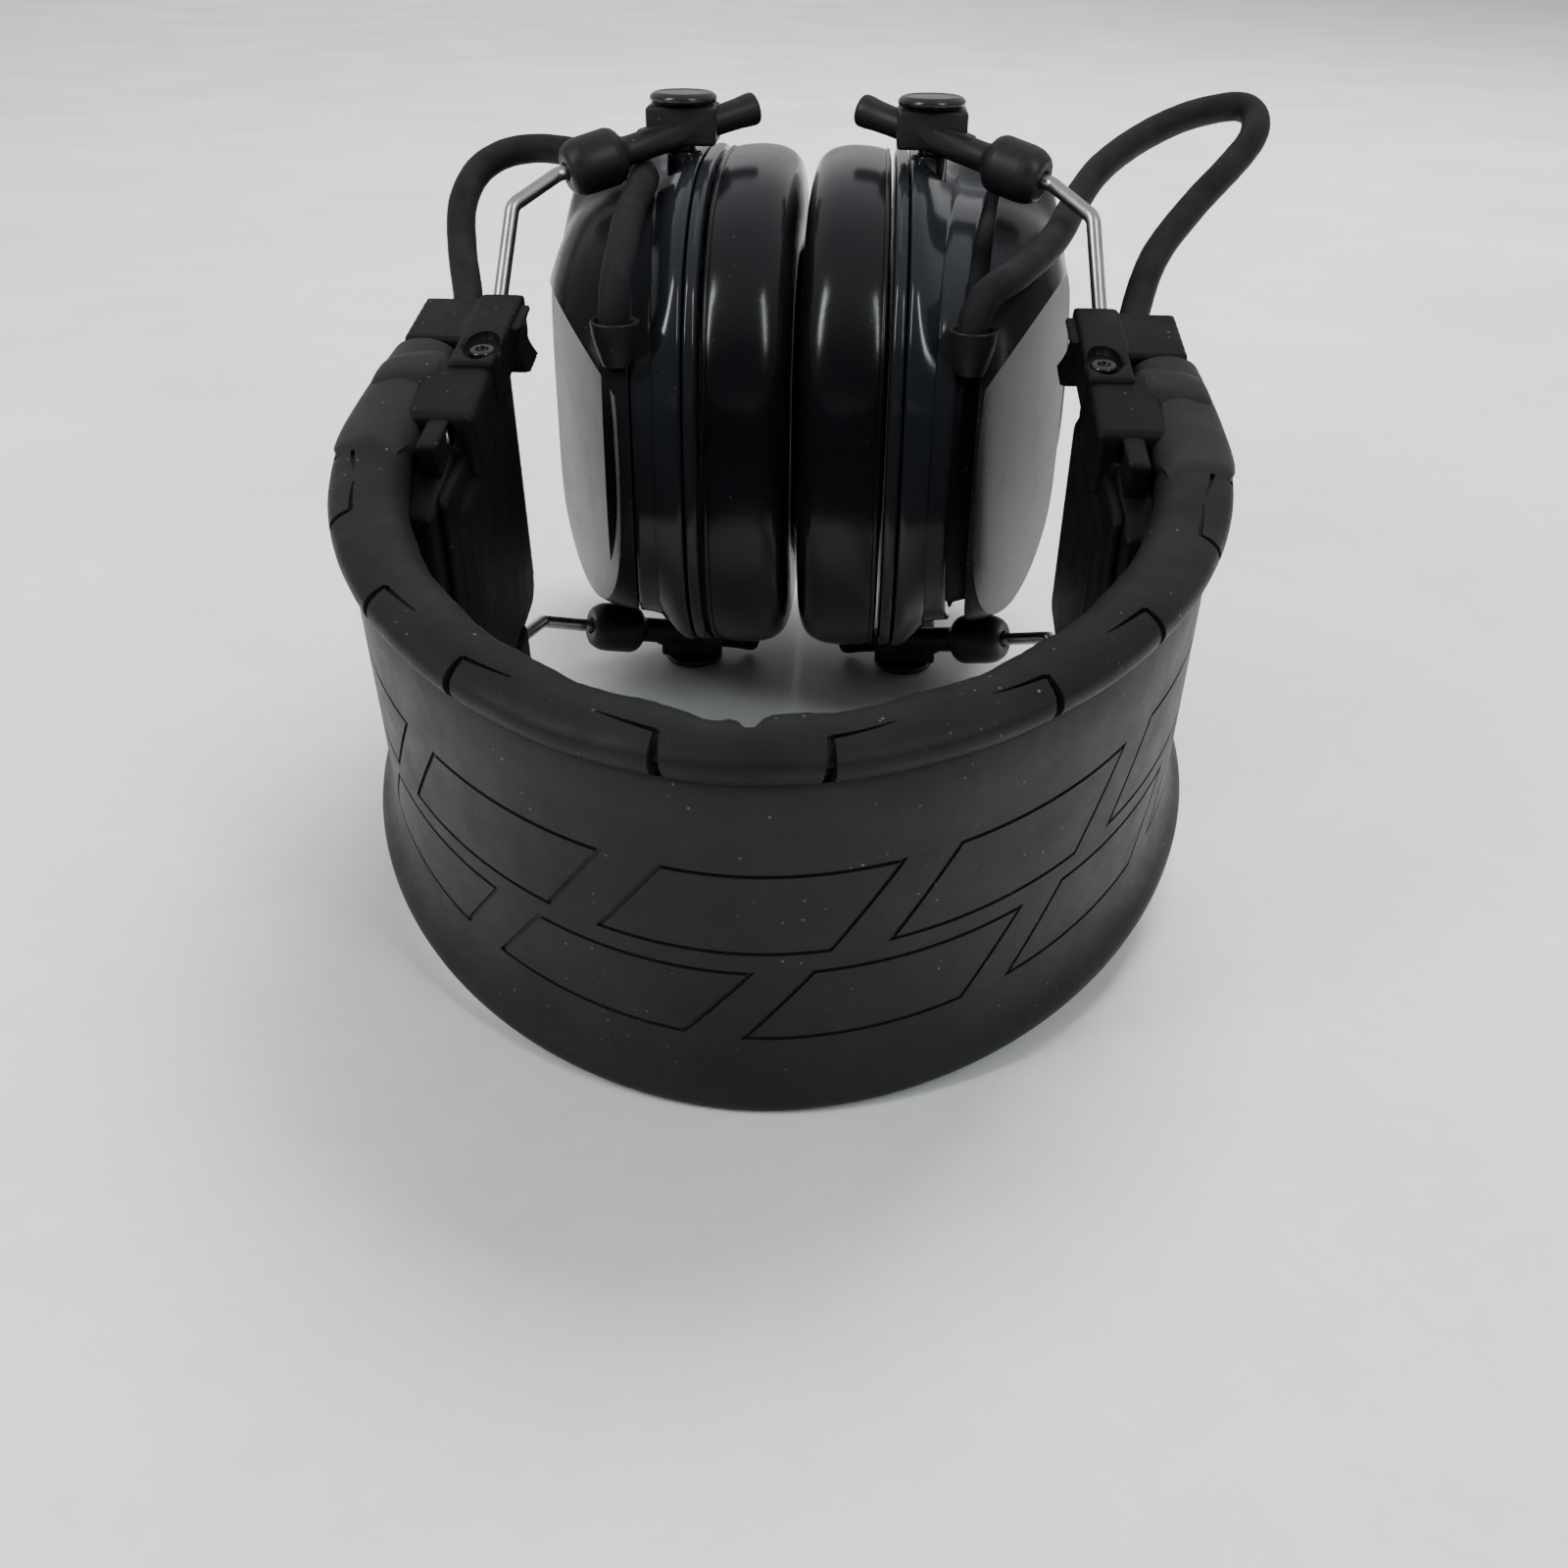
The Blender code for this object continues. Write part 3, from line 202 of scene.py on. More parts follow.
def drawn_steel(name, colour, along, roughness):
    """Steel with fine drawing lines along one axis."""
    made, tree, shader = new_material(name)
    lines = noise_at(tree, scaled_coords(tree, [60.0 if k == along else 700.0 for k in range(3)]), 1.0, 4, 0.6)
    spots = noise_at(tree, scaled_coords(tree), 240, 5, 0.7)
    feed(shader, {
        "Base Color": ramp(tree, spots, [(0.3, [c * 0.72 for c in colour]), (0.65, colour)]),
        "Roughness": map_range(tree, lines, 0.3, 0.7, *roughness),
        "Metallic": 1.0,
    })
    add_bump(shader, (lines, 0.12, 0.00001))
    return made


def cord_rubber():
    """Matt cord jacket with faint rings and scuffs."""
    made, tree, shader = new_material("cord_rubber")
    coords = scaled_coords(tree)
    cloud = noise_at(tree, coords, 150, 8, 0.7)
    feed(shader, {
        "Base Color": ramp(tree, cloud, [(0.35, (0.008, 0.008, 0.009)), (0.75, (0.022, 0.022, 0.024))]),
        "Roughness": map_range(tree, cloud, 0.3, 0.7, 0.5, 0.72),
        "Specular IOR Level": 0.12,
    })
    streaks = noise_at(tree, scaled_coords(tree, (700, 150, 700)), 1.0, 6, 0.7)
    add_bump(shader, (streaks, 0.5, 0.00012), (noise_at(tree, coords, 2500, 2, 0.5), 0.4, 0.00004))
    return made


def printed_board():
    made, tree, shader = new_material("board_green")
    coords = scaled_coords(tree)
    bricks = node(tree, "ShaderNodeTexBrick", {
        "Vector": coords, "Scale": 190.0, "Mortar Size": 0.03, "Color1": (0.02, 0.13, 0.05, 1),
        "Color2": (0.03, 0.18, 0.08, 1), "Mortar": (0.28, 0.30, 0.12, 1),
    })
    gloss = map_range(tree, noise_at(tree, coords, 300), 0.3, 0.7, 0.3, 0.5)
    feed(shader, {"Base Color": bricks.outputs["Color"], "Roughness": gloss})
    add_bump(shader, (bricks.outputs["Fac"], 0.4, 0.00008))
    return made


def cell_jacket(split):
    """A cell's jacket: dark body and copper-coloured far end, which meet at split, both slightly worn."""
    made, tree, shader = new_material("cell_jacket")
    coords = scaled_coords(tree)
    along = node(tree, "ShaderNodeSeparateXYZ", {0: coords}).outputs["Y"]
    end = map_range(tree, along, split - 0.0002, split + 0.0002, 0, 1)
    worn = noise_at(tree, coords, 260, 8, 0.7)
    dark = ramp(tree, worn, [(0.3, (0.02, 0.02, 0.022)), (0.7, (0.05, 0.05, 0.052))])
    copper = ramp(tree, worn, [(0.3, (0.42, 0.22, 0.09)), (0.7, (0.60, 0.36, 0.17))])
    gloss = map_range(tree, worn, 0.3, 0.7, 0.22, 0.4)
    feed(shader, {"Base Color": mixed(tree, end, dark, copper), "Roughness": gloss})
    add_bump(shader, (worn, 0.3, 0.00003))
    return made


def open_foam():
    made, tree, shader = new_material("liner_foam_cloth")
    inputs = {"Vector": scaled_coords(tree), "Scale": 1400.0}
    cells = node(tree, "ShaderNodeTexVoronoi", inputs).outputs["Distance"]
    feed(shader, {
        "Base Color": ramp(tree, cells, [(0.1, (0.035, 0.035, 0.038)), (0.6, (0.13, 0.13, 0.135))]),
        "Roughness": 0.95,
        "Sheen Weight": 0.4,
    })
    add_bump(shader, (cells, 0.8, 0.0003))
    return made


LOOKS = {
    "rubber": moulded(
        "band_rubber", (0.0095, 0.01, 0.0105), (0.0148, 0.0152, 0.0165), (0.44, 0.58), 1800, 0.00005,
        dust=0.5, wave=0.0002, specular=0.18,
    ),
    "pad": moulded(
        "pad_rubber", (0.006, 0.0065, 0.007), (0.012, 0.0125, 0.0135), (0.44, 0.60), 1300, 0.00008,
        dust=0.5, wave=0.00025, specular=0.16,
    ),
    "gloss": moulded(
        "gloss_black", (0.0108, 0.012, 0.014), (0.0156, 0.0172, 0.02), (0.10, 0.17), 900, 0.000006,
        dust=0.16, wave=0.00006, patch=30, specular=0.33,
    ),
    "cover": moulded(
        "cover_black", (0.009, 0.0096, 0.0108), (0.0135, 0.0144, 0.016), (0.2, 0.3), 1600, 0.00002,
        dust=0.3, patch=30, specular=0.06,
    ),
    "matt": moulded(
        "matt_black", (0.009, 0.009, 0.0098), (0.016, 0.016, 0.017), (0.38, 0.52), 2400, 0.00006,
        dust=0.3, specular=0.26,
    ),
    "bracket": moulded(
        "bracket_black", (0.004, 0.004, 0.0046), (0.0075, 0.0075, 0.008), (0.42, 0.56), 2400, 0.00008,
        dust=0.3, wave=0.0002, specular=0.12,
    ),
    "vinyl": moulded(
        "cushion_vinyl", (0.004, 0.0045, 0.0055), (0.0065, 0.007, 0.0085), (0.15, 0.24), 1500, 0.00003,
        dust=0.12, wave=0.00025, patch=45, specular=0.3,
    ),
    "cap": moulded(
        "cap_black", (0.007, 0.007, 0.0075), (0.011, 0.011, 0.012), (0.2, 0.3), 2200, 0.00002, dust=0.25,
    ),
    "trim": moulded(
        "trim_grey", (0.016, 0.017, 0.018), (0.026, 0.027, 0.029), (0.25, 0.34), 2000, 0.00003, dust=0.2,
    ),
    "ferrite": moulded(
        "ferrite_grey", (0.03, 0.028, 0.028), (0.06, 0.055, 0.055), (0.45, 0.6), 1500, 0.00008,
    ),
    "wire": drawn_steel("fork_steel", (0.55, 0.53, 0.49), 1, (0.26, 0.34)),
    "steel": drawn_steel("plain_steel", (0.45, 0.45, 0.46), 2, (0.3, 0.45)),
    "cord": cord_rubber(),
    "foam": open_foam(),
    "board": printed_board(),
    "cell": cell_jacket(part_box("battery_cell_1")[1][1] - CELL_COPPER_LENGTH),
}


# ---------------------------------------------------------------- mesh helpers
def make_object(name, points, faces, place, smooth=35.0):
    """A mesh object from points in millimetres in the frame place, with outward normals."""
    mesh = bpy.data.meshes.new(name)
    mesh.from_pydata([tuple(place @ Vector(p)) for p in points], [], faces)
    shape = bmesh.new()
    shape.from_mesh(mesh)
    bmesh.ops.recalc_face_normals(shape, faces=shape.faces)
    shape.to_mesh(mesh)
    shape.free()
    mesh.shade_smooth()
    if smooth is not None:
        mesh.set_sharp_from_angle(angle=math.radians(smooth))
    return added(name, mesh)


def grid_faces(rows, columns, closed_rows=False, closed_columns=True, caps=True):
    faces = []
    for i in range(rows if closed_rows else rows - 1):
        a, b = i * columns, ((i + 1) % rows) * columns
        for j in range(columns if closed_columns else columns - 1):
            k = (j + 1) % columns
            faces.append((a + j, a + k, b + k, b + j))
    if caps and not closed_rows:
        faces.append(tuple(reversed(range(columns))))
        faces.append(tuple(range((rows - 1) * columns, rows * columns)))
    return faces


def loft_object(name, rings, place, closed=False, smooth=35.0):
    points = [p for ring in rings for p in ring]
    return make_object(name, points, grid_faces(len(rings), len(rings[0]), closed), place, smooth)


def finish_piece(obj, name, look, body, slot, *cad):
    """Names a piece, gives it its material, and lets it ride body and stand for the CAD nodes in cad."""
    obj.name = name
    obj.data.materials.clear()
    obj.data.materials.append(LOOKS[look])
    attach(obj, body)
    if cad:
        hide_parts(*cad)
    return obj


def applied(obj, sharp=35.0):
    """Applies obj's modifiers, and shades it smooth, but for edges sharper than sharp degrees."""
    bpy.context.view_layer.update()
    mesh = bpy.data.meshes.new_from_object(obj.evaluated_get(bpy.context.evaluated_depsgraph_get()))
    obj.modifiers.clear()
    obj.data = mesh
    mesh.shade_smooth()
    if sharp is not None:
        mesh.set_sharp_from_angle(angle=math.radians(sharp))
    return obj


def bevelled(obj, width, segments, limit=None):
    """Rounds obj's edges, or only those sharper than limit degrees."""
    cut = obj.modifiers.new("bevel", "BEVEL")
    cut.width = width / 1000
    cut.segments = segments
    cut.limit_method = "ANGLE" if limit else "NONE"
    if limit:
        cut.angle_limit = math.radians(limit)
    return applied(obj)


def boolean(obj, tool, operation="DIFFERENCE"):
    cut = obj.modifiers.new("cut", "BOOLEAN")
    cut.operation = operation
    cut.object = tool
    cut.solver = "EXACT"
    applied(obj)
    bpy.data.objects.remove(tool, do_unlink=True)
    return obj


def rounded_box(low, high, radius, place, segments=3, taper=tuple):
    """A box with bevelled edges, its corners moved by the function taper."""
    (x0, y0, z0), (x1, y1, z1) = low, high
    points = [taper((x, y, z)) for z in (z0, z1) for x, y in ((x0, y0), (x1, y0), (x1, y1), (x0, y1))]
    return bevelled(make_object("box", points, grid_faces(2, 4), place, None), radius, segments)


def square_frame(direction):
    d = Vector(direction).normalized()
    helper = Vector((0, 0, 1)) if abs(d.z) < 0.9 else Vector((1, 0, 0))
    u = d.cross(helper).normalized()
    return d, u, d.cross(u).normalized()


def circle(centre, radius, u, v, sides):
    turns = [2 * math.pi * k / sides for k in range(sides)]
    return [centre + radius * (math.cos(t) * u + math.sin(t) * v) for t in turns]


def turned_object(name, start, end, profile, place, sides=48):
    """A turned solid. Each profile entry holds (distance along, radius)."""
    start = Vector(start)
    d, u, v = square_frame(Vector(end) - start)
    rings = [circle(start + d * along, radius, u, v, sides) for along, radius in profile]
    return loft_object(name, rings, place)


def rounded_profile(profile, radius=0.35, steps=3):
    """Rounds the corners of a turned profile."""
    points = [Vector(p) for p in profile]
    out = [points[0]]
    for before, corner, after in zip(points, points[1:], points[2:]):
        a, b = before - corner, after - corner
        cut = min(radius, a.length * 0.45, b.length * 0.45)
        p, q = corner + a.normalized() * cut, corner + b.normalized() * cut
        for k in range(steps + 1):
            f = k / steps
            out.append(p * (1 - f) ** 2 + corner * 2 * f * (1 - f) + q * f * f)
    out.append(points[-1])
    return [tuple(p) for p in out]


def cylinder(start, end, radius, place, sides=40, edge=0.3):
    length = (Vector(end) - Vector(start)).length
    profile = [(0, 0.01), (0, radius), (length, radius), (length, 0.01)]
    return turned_object("rod", start, end, rounded_profile(profile, edge), place, sides)


def mirrored(obj, place, axis):
    """Turns obj into its mirror image across an axis of the frame place."""
    obj.data.transform(place @ Matrix.Scale(-1, 4, axis) @ place.inverted())
    obj.data.flip_normals()
    return obj


def on_side(obj, side):
    """Mirrors a right-hand piece for the left side."""
    return mirrored(obj, Matrix(), (1, 0, 0)) if side < 0 else obj


def catmull(points, steps):
    """A smooth run of points through the given ones (numpy rows)."""
    given = np.array(points, float)
    padded = np.vstack([2 * given[0] - given[1], given, 2 * given[-1] - given[-2]])
    out = []
    for i in range(1, len(padded) - 2):
        a, b, c, d = padded[i - 1 : i + 3]
        for k in range(steps):
            t = k / steps
            line = 2 * b + (c - a) * t
            out.append(0.5 * (line + (2 * a - 5 * b + 4 * c - d) * t**2 + (3 * b - a - 3 * c + d) * t**3))
    out.append(given[-1])
    return np.array(out)


def walked(points):
    """The distance walked along the points, at each of them."""
    steps = np.linalg.norm(np.diff(np.asarray(points), axis=0), axis=1)
    return np.concatenate([[0], np.cumsum(steps)])


def even_route(points, spacing):
    fine = catmull(points, 32)
    along = walked(fine)
    at = np.linspace(0, along[-1], max(2, round(along[-1] / spacing)) + 1)
    return np.array([np.interp(at, along, fine[:, k]) for k in range(3)]).T


def tube_rings(path, radius, sides):
    """Rings round a path. radius is a number, or a function of the ring's number."""
    rings, u = [], None
    path = [Vector(p) for p in path]
    for i, p in enumerate(path):
        d = (path[min(i + 1, len(path) - 1)] - path[max(i - 1, 0)]).normalized()
        u = square_frame(d)[1] if u is None else (u - d * u.dot(d)).normalized()
        rings.append(circle(p, radius(i) if callable(radius) else radius, u, d.cross(u), sides))
    return rings


def clamped(part):
    return max(0.0, min(1.0, part))


# ---------------------------------------------------------------- cords
CORD_DIAMETER, CORD_STEP = 5.2, 1.25
CORD_ROUTES = {
    "left": ([
        (57.3, 107.5, 19.0), (57.3, 114.9, 20.2), (58.2, 121.4, 23.5), (60.8, 130.5, 29.5),
        (62.4, 139.6, 35.7), (61.2, 147.9, 40.2), (57.5, 154.0, 42.6), (52.0, 156.9, 43.4),
        (46.0, 156.0, 43.2),
    ], [
        (39.0, 152.6, 42.6), (33.2, 147.4, 42.2), (30.2, 142.8, 42.0), (28.5, 137.2, 41.5),
        (28.2, 128.0, 41.0), (28.6, 118.0, 38.6), (28.8, 109.6, 34.8), (29.1, 103.8, 31.0),
        (29.3, 101.6, 26.4), (29.3, 101.6, 22.4), (29.3, 101.6, 19.1),
    ]),
    "right": ([
        (57.3, 107.5, 19.0), (57.3, 114.9, 20.2), (58.2, 122.0, 23.6), (62.3, 133.0, 30.7),
        (69.5, 143.0, 37.4), (77.0, 151.0, 43.4), (81.4, 157.0, 47.2), (82.9, 162.5, 49.9),
        (81.9, 167.0, 51.4), (78.5, 169.0, 51.4), (70.2, 166.0, 49.8), (61.4, 160.0, 46.6),
        (53.6, 150.5, 42.8),
    ], [
        (48.6, 141.0, 38.6), (44.8, 128.5, 35.6), (40.8, 117.5, 33.9), (36.0, 108.6, 32.0),
        (31.2, 103.4, 29.9), (29.3, 101.6, 25.8), (29.3, 101.6, 22.4), (29.3, 101.6, 19.1),
    ]),
}


def cord_radius(i):
    return CORD_DIAMETER / 2 * (1 + 0.006 * math.sin(i * 1.9) + 0.005 * math.sin(i * 0.83 + 1))


def cord_piece(name, path, cad):
    """One length of cord: a tube along path, standing in for the CAD node cad."""
    obj = loft_object(name, tube_rings(path, cord_radius, 32), UP, smooth=60)
    obj.data.materials.append(LOOKS["cord"])
    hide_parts(cad)
    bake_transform(obj)


def build_cords():
    for side_name, side in SIDES.items():
        outer, inner = CORD_ROUTES[side_name]
        given = [(side * x, y, z) for x, y, z in outer + inner]
        path = even_route(given, CORD_STEP)
        meeting = np.array(given[len(outer) - 1])
        k = int(np.linalg.norm(path - meeting, axis=1).argmin())
        fork, cup = f"fork_{side_name}", f"cup_{side_name}"
        for part, run, joined, first, last in (
            ("outer", path[: k + 1], ("headband", fork), given[1], given[5]),
            ("inner", path[k:], (fork, cup), given[len(outer)], given[-5]),
        ):
            cord_piece(f"cord_{side_name}_{part}_run", run, f"cord_{part}_{side_name}")


build_cords()


# ---------------------------------------------------------------- headband
BAND_HALF_WIDTH, BAND_DEPTH, BAND_POWER = 64.0, 78.0, 1.9
ARM_END_Y, ARM_TAPER = 104.0, 1.0


def band_line(spacing):
    """Even points along the band's outer face, as (distance from the crown, x, y, outward x, outward y)."""
    half = [
        (
            BAND_HALF_WIDTH * math.sin(t) ** (2 / BAND_POWER),
            BAND_DEPTH * (1 - max(math.cos(t), 0) ** (2 / BAND_POWER)),
        )
        for t in np.linspace(0, math.pi / 2, 1200)
    ]
    for f in np.linspace(0, 1, 60)[1:]:
        half.append((BAND_HALF_WIDTH - ARM_TAPER * f**2, BAND_DEPTH + (ARM_END_Y - BAND_DEPTH) * f))
    half = np.array(half)
    line = np.vstack([half[:0:-1] * (-1, 1), half])
    along = walked(line)
    at = np.linspace(0, along[-1], round(along[-1] / spacing) + 1)
    x, y = (np.interp(at, along, line[:, k]) for k in (0, 1))
    dx, dy = np.gradient(x, at), np.gradient(y, at)
    size = np.hypot(dx, dy)
    return np.array([at - along[-1] / 2, x, y, dy / size, -dx / size]).T


FINE_LINE = band_line(0.4)
BAND_REACH = float(FINE_LINE[-1, 0])


def on_band(s, offset, z):
    """The point at distance s along the band, offset outward from its face, at height z."""
    x, y, nx, ny = (float(np.interp(s, FINE_LINE[:, 0], FINE_LINE[:, k])) for k in range(1, 5))
    return Vector((x + nx * offset, y + ny * offset, z))


def smooth_section(points, steps):
    return [tuple(p) for p in catmull(points, steps)]


COVER_LIP = [
    (0.0, -17.5), (0.1, -20.5), (0.55, -23.2), (1.45, -25.3), (2.4, -26.7), (3.05, -27.8), (3.0, -28.9),
    (2.1, -29.75), (0.6, -30.1), (-0.9, -29.85), (-2.0, -28.9), (-2.4, -27.3),
]


def cover_section():
    face = [(-1.2, 24.5), (-0.35, 24.35), (0.0, 23.7)] + [(0.0, z) for z in (18, 12, 6, 0, -6, -12)]
    return face + smooth_section(COVER_LIP, 3) + [(-2.4, -12.0), (-2.4, 6.0), (-2.4, 24.5)]


def sweep_band(name, section, spacing, wobble):
    """Sweeps a section of (offset, height) points along the band, each moved by the function wobble."""
    rings = []
    for s in np.linspace(-BAND_REACH, BAND_REACH, round(2 * BAND_REACH / spacing) + 1):
        ring = []
        for o, z in section:
            out, rise = wobble(s, o, z)
            ring.append(on_band(s, o + out, z + rise))
        rings.append(ring)
    return loft_object(name, rings, BAND, smooth=40)


def groove_tool(path, width, depth):
    """A thin bar round an outline of (s, z) points just under the band's face, for engraving it."""
    given = [Vector(p) for p in path]
    dense = []
    for a, b in zip(given, given[1:] + given[:1]):
        count = max(1, round((b - a).length / 1.5))
        dense += [a.lerp(b, k / count) for k in range(count)]
    rings = []
    for i, p in enumerate(dense):
        before, after = dense[i - 1], dense[(i + 1) % len(dense)]
        along = (after - before).normalized()
        spread = 1 / max(0.5, abs((p - before).normalized().dot(along)))
        across = Vector((-along.y, along.x)) * width / 2 * spread
        ring = []
        for edge, offset in ((1, 0.6), (1, -depth), (-1, -depth), (-1, 0.6)):
            q = p + across * edge
            ring.append(on_band(q.x, offset, q.y))
        rings.append(ring)
    return rings, True


PATTERN_ROWS = (((-2.5, 10.5), 0.0), ((-18.0, -6.0), 19.0))
PATTERN_STEP, PATTERN_HALF, PATTERN_LEAN, PATTERN_MARGIN = 38.0, 15.0, 4.5, 26


def pattern_paths():
    """Slanted bar outlines in two staggered rows: a plain decorative relief."""
    paths = []
    for (low, high), shift in PATTERN_ROWS:
        for k in range(-3, 4):
            middle = k * PATTERN_STEP + shift
            if abs(middle) > BAND_REACH - PATTERN_MARGIN:
                continue
            left, right = middle - PATTERN_HALF, middle + PATTERN_HALF
            paths.append([
                (left + PATTERN_LEAN, high), (right + PATTERN_LEAN, high), (right - PATTERN_LEAN, low),
                (left - PATTERN_LEAN, low),
            ])
    return paths


def tools_object(tools):
    points, faces = [], []
    for rings, closed in tools:
        start = len(points)
        points += [p for ring in rings for p in ring]
        faces += [tuple(start + i for i in f) for f in grid_faces(len(rings), len(rings[0]), closed)]
    return make_object("tool", points, faces, BAND, None)


def build_band_cover():
    obj = sweep_band("cover", cover_section(), 1.6, lambda s, o, z: (0, 0))
    obj = boolean(obj, tools_object([groove_tool(path, 0.62, 0.42) for path in pattern_paths()]))
    finish_piece(obj, "band_cover_skin", "rubber", "headband", "rubber", "headband_cover")


PAD_OUTLINE = [
    (-2.7, 24.2), (-1.6, 24.55), (-0.3, 24.75), (0.75, 25.2), (1.6, 26.1), (1.9, 27.3), (1.5, 28.5),
    (0.4, 29.4), (-1.2, 29.95), (-3.2, 30.15), (-5.4, 29.85), (-7.3, 28.9), (-8.5, 27.3), (-8.9, 25.4),
    (-8.6, 23.4), (-7.7, 21.5), (-7.0, 19.4), (-6.6, 16.5),
]
PAD_INSIDE = [(-6.6, 0.0), (-6.6, -23.5), (-6.2, -26.2), (-4.8, -27.6), (-2.7, -27.6), (-2.7, 0.0)]
ROLL_MIDDLE = np.array((-3.6, 26.4))
# Each slit across the roll: its distance from the crown, and the way that the step at its end runs
SLITS = {9.8: 1, 38.8: -1, 59.2: -1, 80.5: 1, 99.0: -1}


def pad_wobble(s, o, z):
    """Slightly uneven moulding: strongest on the inner top edge of the roll, which is notched at the crown."""
    inner = clamped((-o - 3) / 5) * clamped((z - 20) / 6)
    ragged = math.sin(s * 0.31) * 0.12 + math.sin(s * 0.83 + 1) * 0.05 + math.sin(s * 2.9 + 2) * 0.03
    notch = 2.3 * math.exp(-(((s - 0.6) / 1.5) ** 2)) + 0.8 * math.exp(-(((s + 5) / 3) ** 2))
    rise = inner * (ragged * 0.8 - notch * 0.5) + clamped((z - 24) / 3) * 0.1 * math.sin(s * 0.35)
    return inner * (notch - 0.15 - ragged), rise


ROLL = np.array(smooth_section(PAD_OUTLINE, 12))
ROLL_RUN = walked(ROLL)


def on_roll(s, u, lift):
    """The point at distance s along the band and u round the roll's outline, lifted off its surface."""
    (o, z), (o1, z1), (o2, z2) = (
        [float(np.interp(at, ROLL_RUN, ROLL[:, k])) for k in (0, 1)] for at in (u, u - 0.1, u + 0.1)
    )
    run = math.hypot(o2 - o1, z2 - z1)
    return on_band(s, o + lift * (z1 - z2) / -run, z + lift * (o2 - o1) / -run)


def roll_groove(path, widths, depths):
    """A bar along (s, u) points on the roll, for cutting a slit whose width and depth change along it."""
    given = [Vector(p) for p in path]
    rings = []
    for i, p in enumerate(given):
        along = (given[min(i + 1, len(given) - 1)] - given[max(i - 1, 0)]).normalized()
        across = Vector((-along.y, along.x)) * widths[i] / 2
        corners = ((p + across, 0.8), (p + across, -depths[i]), (p - across, -depths[i]), (p - across, 0.8))
        rings.append([on_roll(q.x, q.y, lift) for q, lift in corners])
    return rings, False


def build_band_pad():
    obj = sweep_band("pad", smooth_section(PAD_OUTLINE, 3) + PAD_INSIDE, 1.2, pad_wobble)
    for place_at, turn in SLITS.items():
        for side in (-1, 1):
            s = side * place_at
            slit = [(s + side * (0.12 * u - 0.9), u) for u in (1.6, 3.2, 5.0, 7.0, 9.0, 10.8)]
            step = [(s + side * 0.4 + side * turn * d, 10.7 + 0.1 * d) for d in (0, 2, 4, 6, 8)]
            for tool in (
                roll_groove(slit, [1.9, 1.75, 1.5, 1.25, 1.0, 0.8], [1.2, 1.6, 1.6, 1.4, 1.0, 0.5]),
                roll_groove(step, [0.7, 0.6, 0.5, 0.4, 0.3], [0.7, 0.6, 0.45, 0.3, 0.12]),
            ):
                obj = boolean(obj, tools_object([tool]))
    finish_piece(obj, "band_pad_roll", "pad", "headband", "liner_foam", "headband_pad")


def from_roll(point, grow):
    """A point of the roll's outline moved away from the roll's middle."""
    away = np.array(point) - ROLL_MIDDLE
    return ROLL_MIDDLE + away * (1 + grow / np.linalg.norm(away))


def band_strap(side, steps=22):
    """The rubber strap round the end of the roll, its first edge stepped."""
    section = [tuple(from_roll(point, 0.55)) for point in ROLL[6:-30:6]]
    rings = []
    for k in range(steps + 1):
        ring = []
        for o, z in section:
            begin = 104.2 - 5.4 * clamped((z - 28.2) / 0.7) - 1.5 * clamped((-o - 6) / 2)
            s = begin + (BAND_REACH - begin) * (k / steps)
            tuck = 0.45 * max(0.0, 1 - (s - begin) / 0.9) if k else 0.6
            ring.append(on_band(side * s, *from_roll((o, z), -tuck)))
        rings.append(ring)
    return loft_object("strap", rings, BAND, smooth=50)


LOBE_X, LOBE_Z, LOBE_START, LOBE_LENGTH = 59.6, 26.0, 87.5, 14.5
LOBE_HALF_WIDTH, LOBE_HALF_HEIGHT, LOBE_POWER = 6.2, 5.4, 3.2


def band_lobe(side, steps=14, sides=40):
    """The rubber lobe between the strap and the bracket."""
    rings = []
    for k in range(steps + 1):
        f = k / steps
        size = max(0.02, 1 - abs(2 * f - 0.86) ** LOBE_POWER) ** (1 / 2.4)
        ring = []
        for a in range(sides):
            t = 2 * math.pi * a / sides
            c, q = math.cos(t), math.sin(t)
            x = LOBE_HALF_WIDTH * size * math.copysign(abs(c) ** (2 / LOBE_POWER), c)
            z = LOBE_HALF_HEIGHT * size * math.copysign(abs(q) ** (2 / LOBE_POWER), q)
            ring.append((side * (LOBE_X + x), LOBE_START + LOBE_LENGTH * f - 0.3 * x, LOBE_Z + z))
        rings.append(ring)
    return loft_object("lobe", rings, BAND, smooth=60)


def build_band_ends():
    for side_name, side in SIDES.items():
        finish_piece(band_strap(side), f"band_strap_{side_name}", "rubber", "headband", "rubber")
        finish_piece(band_lobe(side), f"band_lobe_{side_name}", "rubber", "headband", "rubber")


build_band_cover()
build_band_pad()
build_band_ends()


# ---------------------------------------------------------------- brackets
SCREW_X, RECESS_SEMI = 49.6, (2.7, 5.2)
SCREW_Y = {"upper": 99.9, "lower": 88.0}


def softened(node_name, width):
    """A copy of a CAD part with its sharp edges rounded."""
    source = frame["nodes"][node_name]
    mesh = source.data.copy()
    mesh.transform(source.matrix_world)
    shape = bmesh.new()
    shape.from_mesh(mesh)
    bmesh.ops.remove_doubles(shape, verts=shape.verts, dist=2e-6)
    bmesh.ops.dissolve_limit(shape, angle_limit=math.radians(0.5), verts=shape.verts, edges=shape.edges)
    shape.to_mesh(mesh)
    shape.free()
    return bevelled(added("softened", mesh), width, 3, 28)


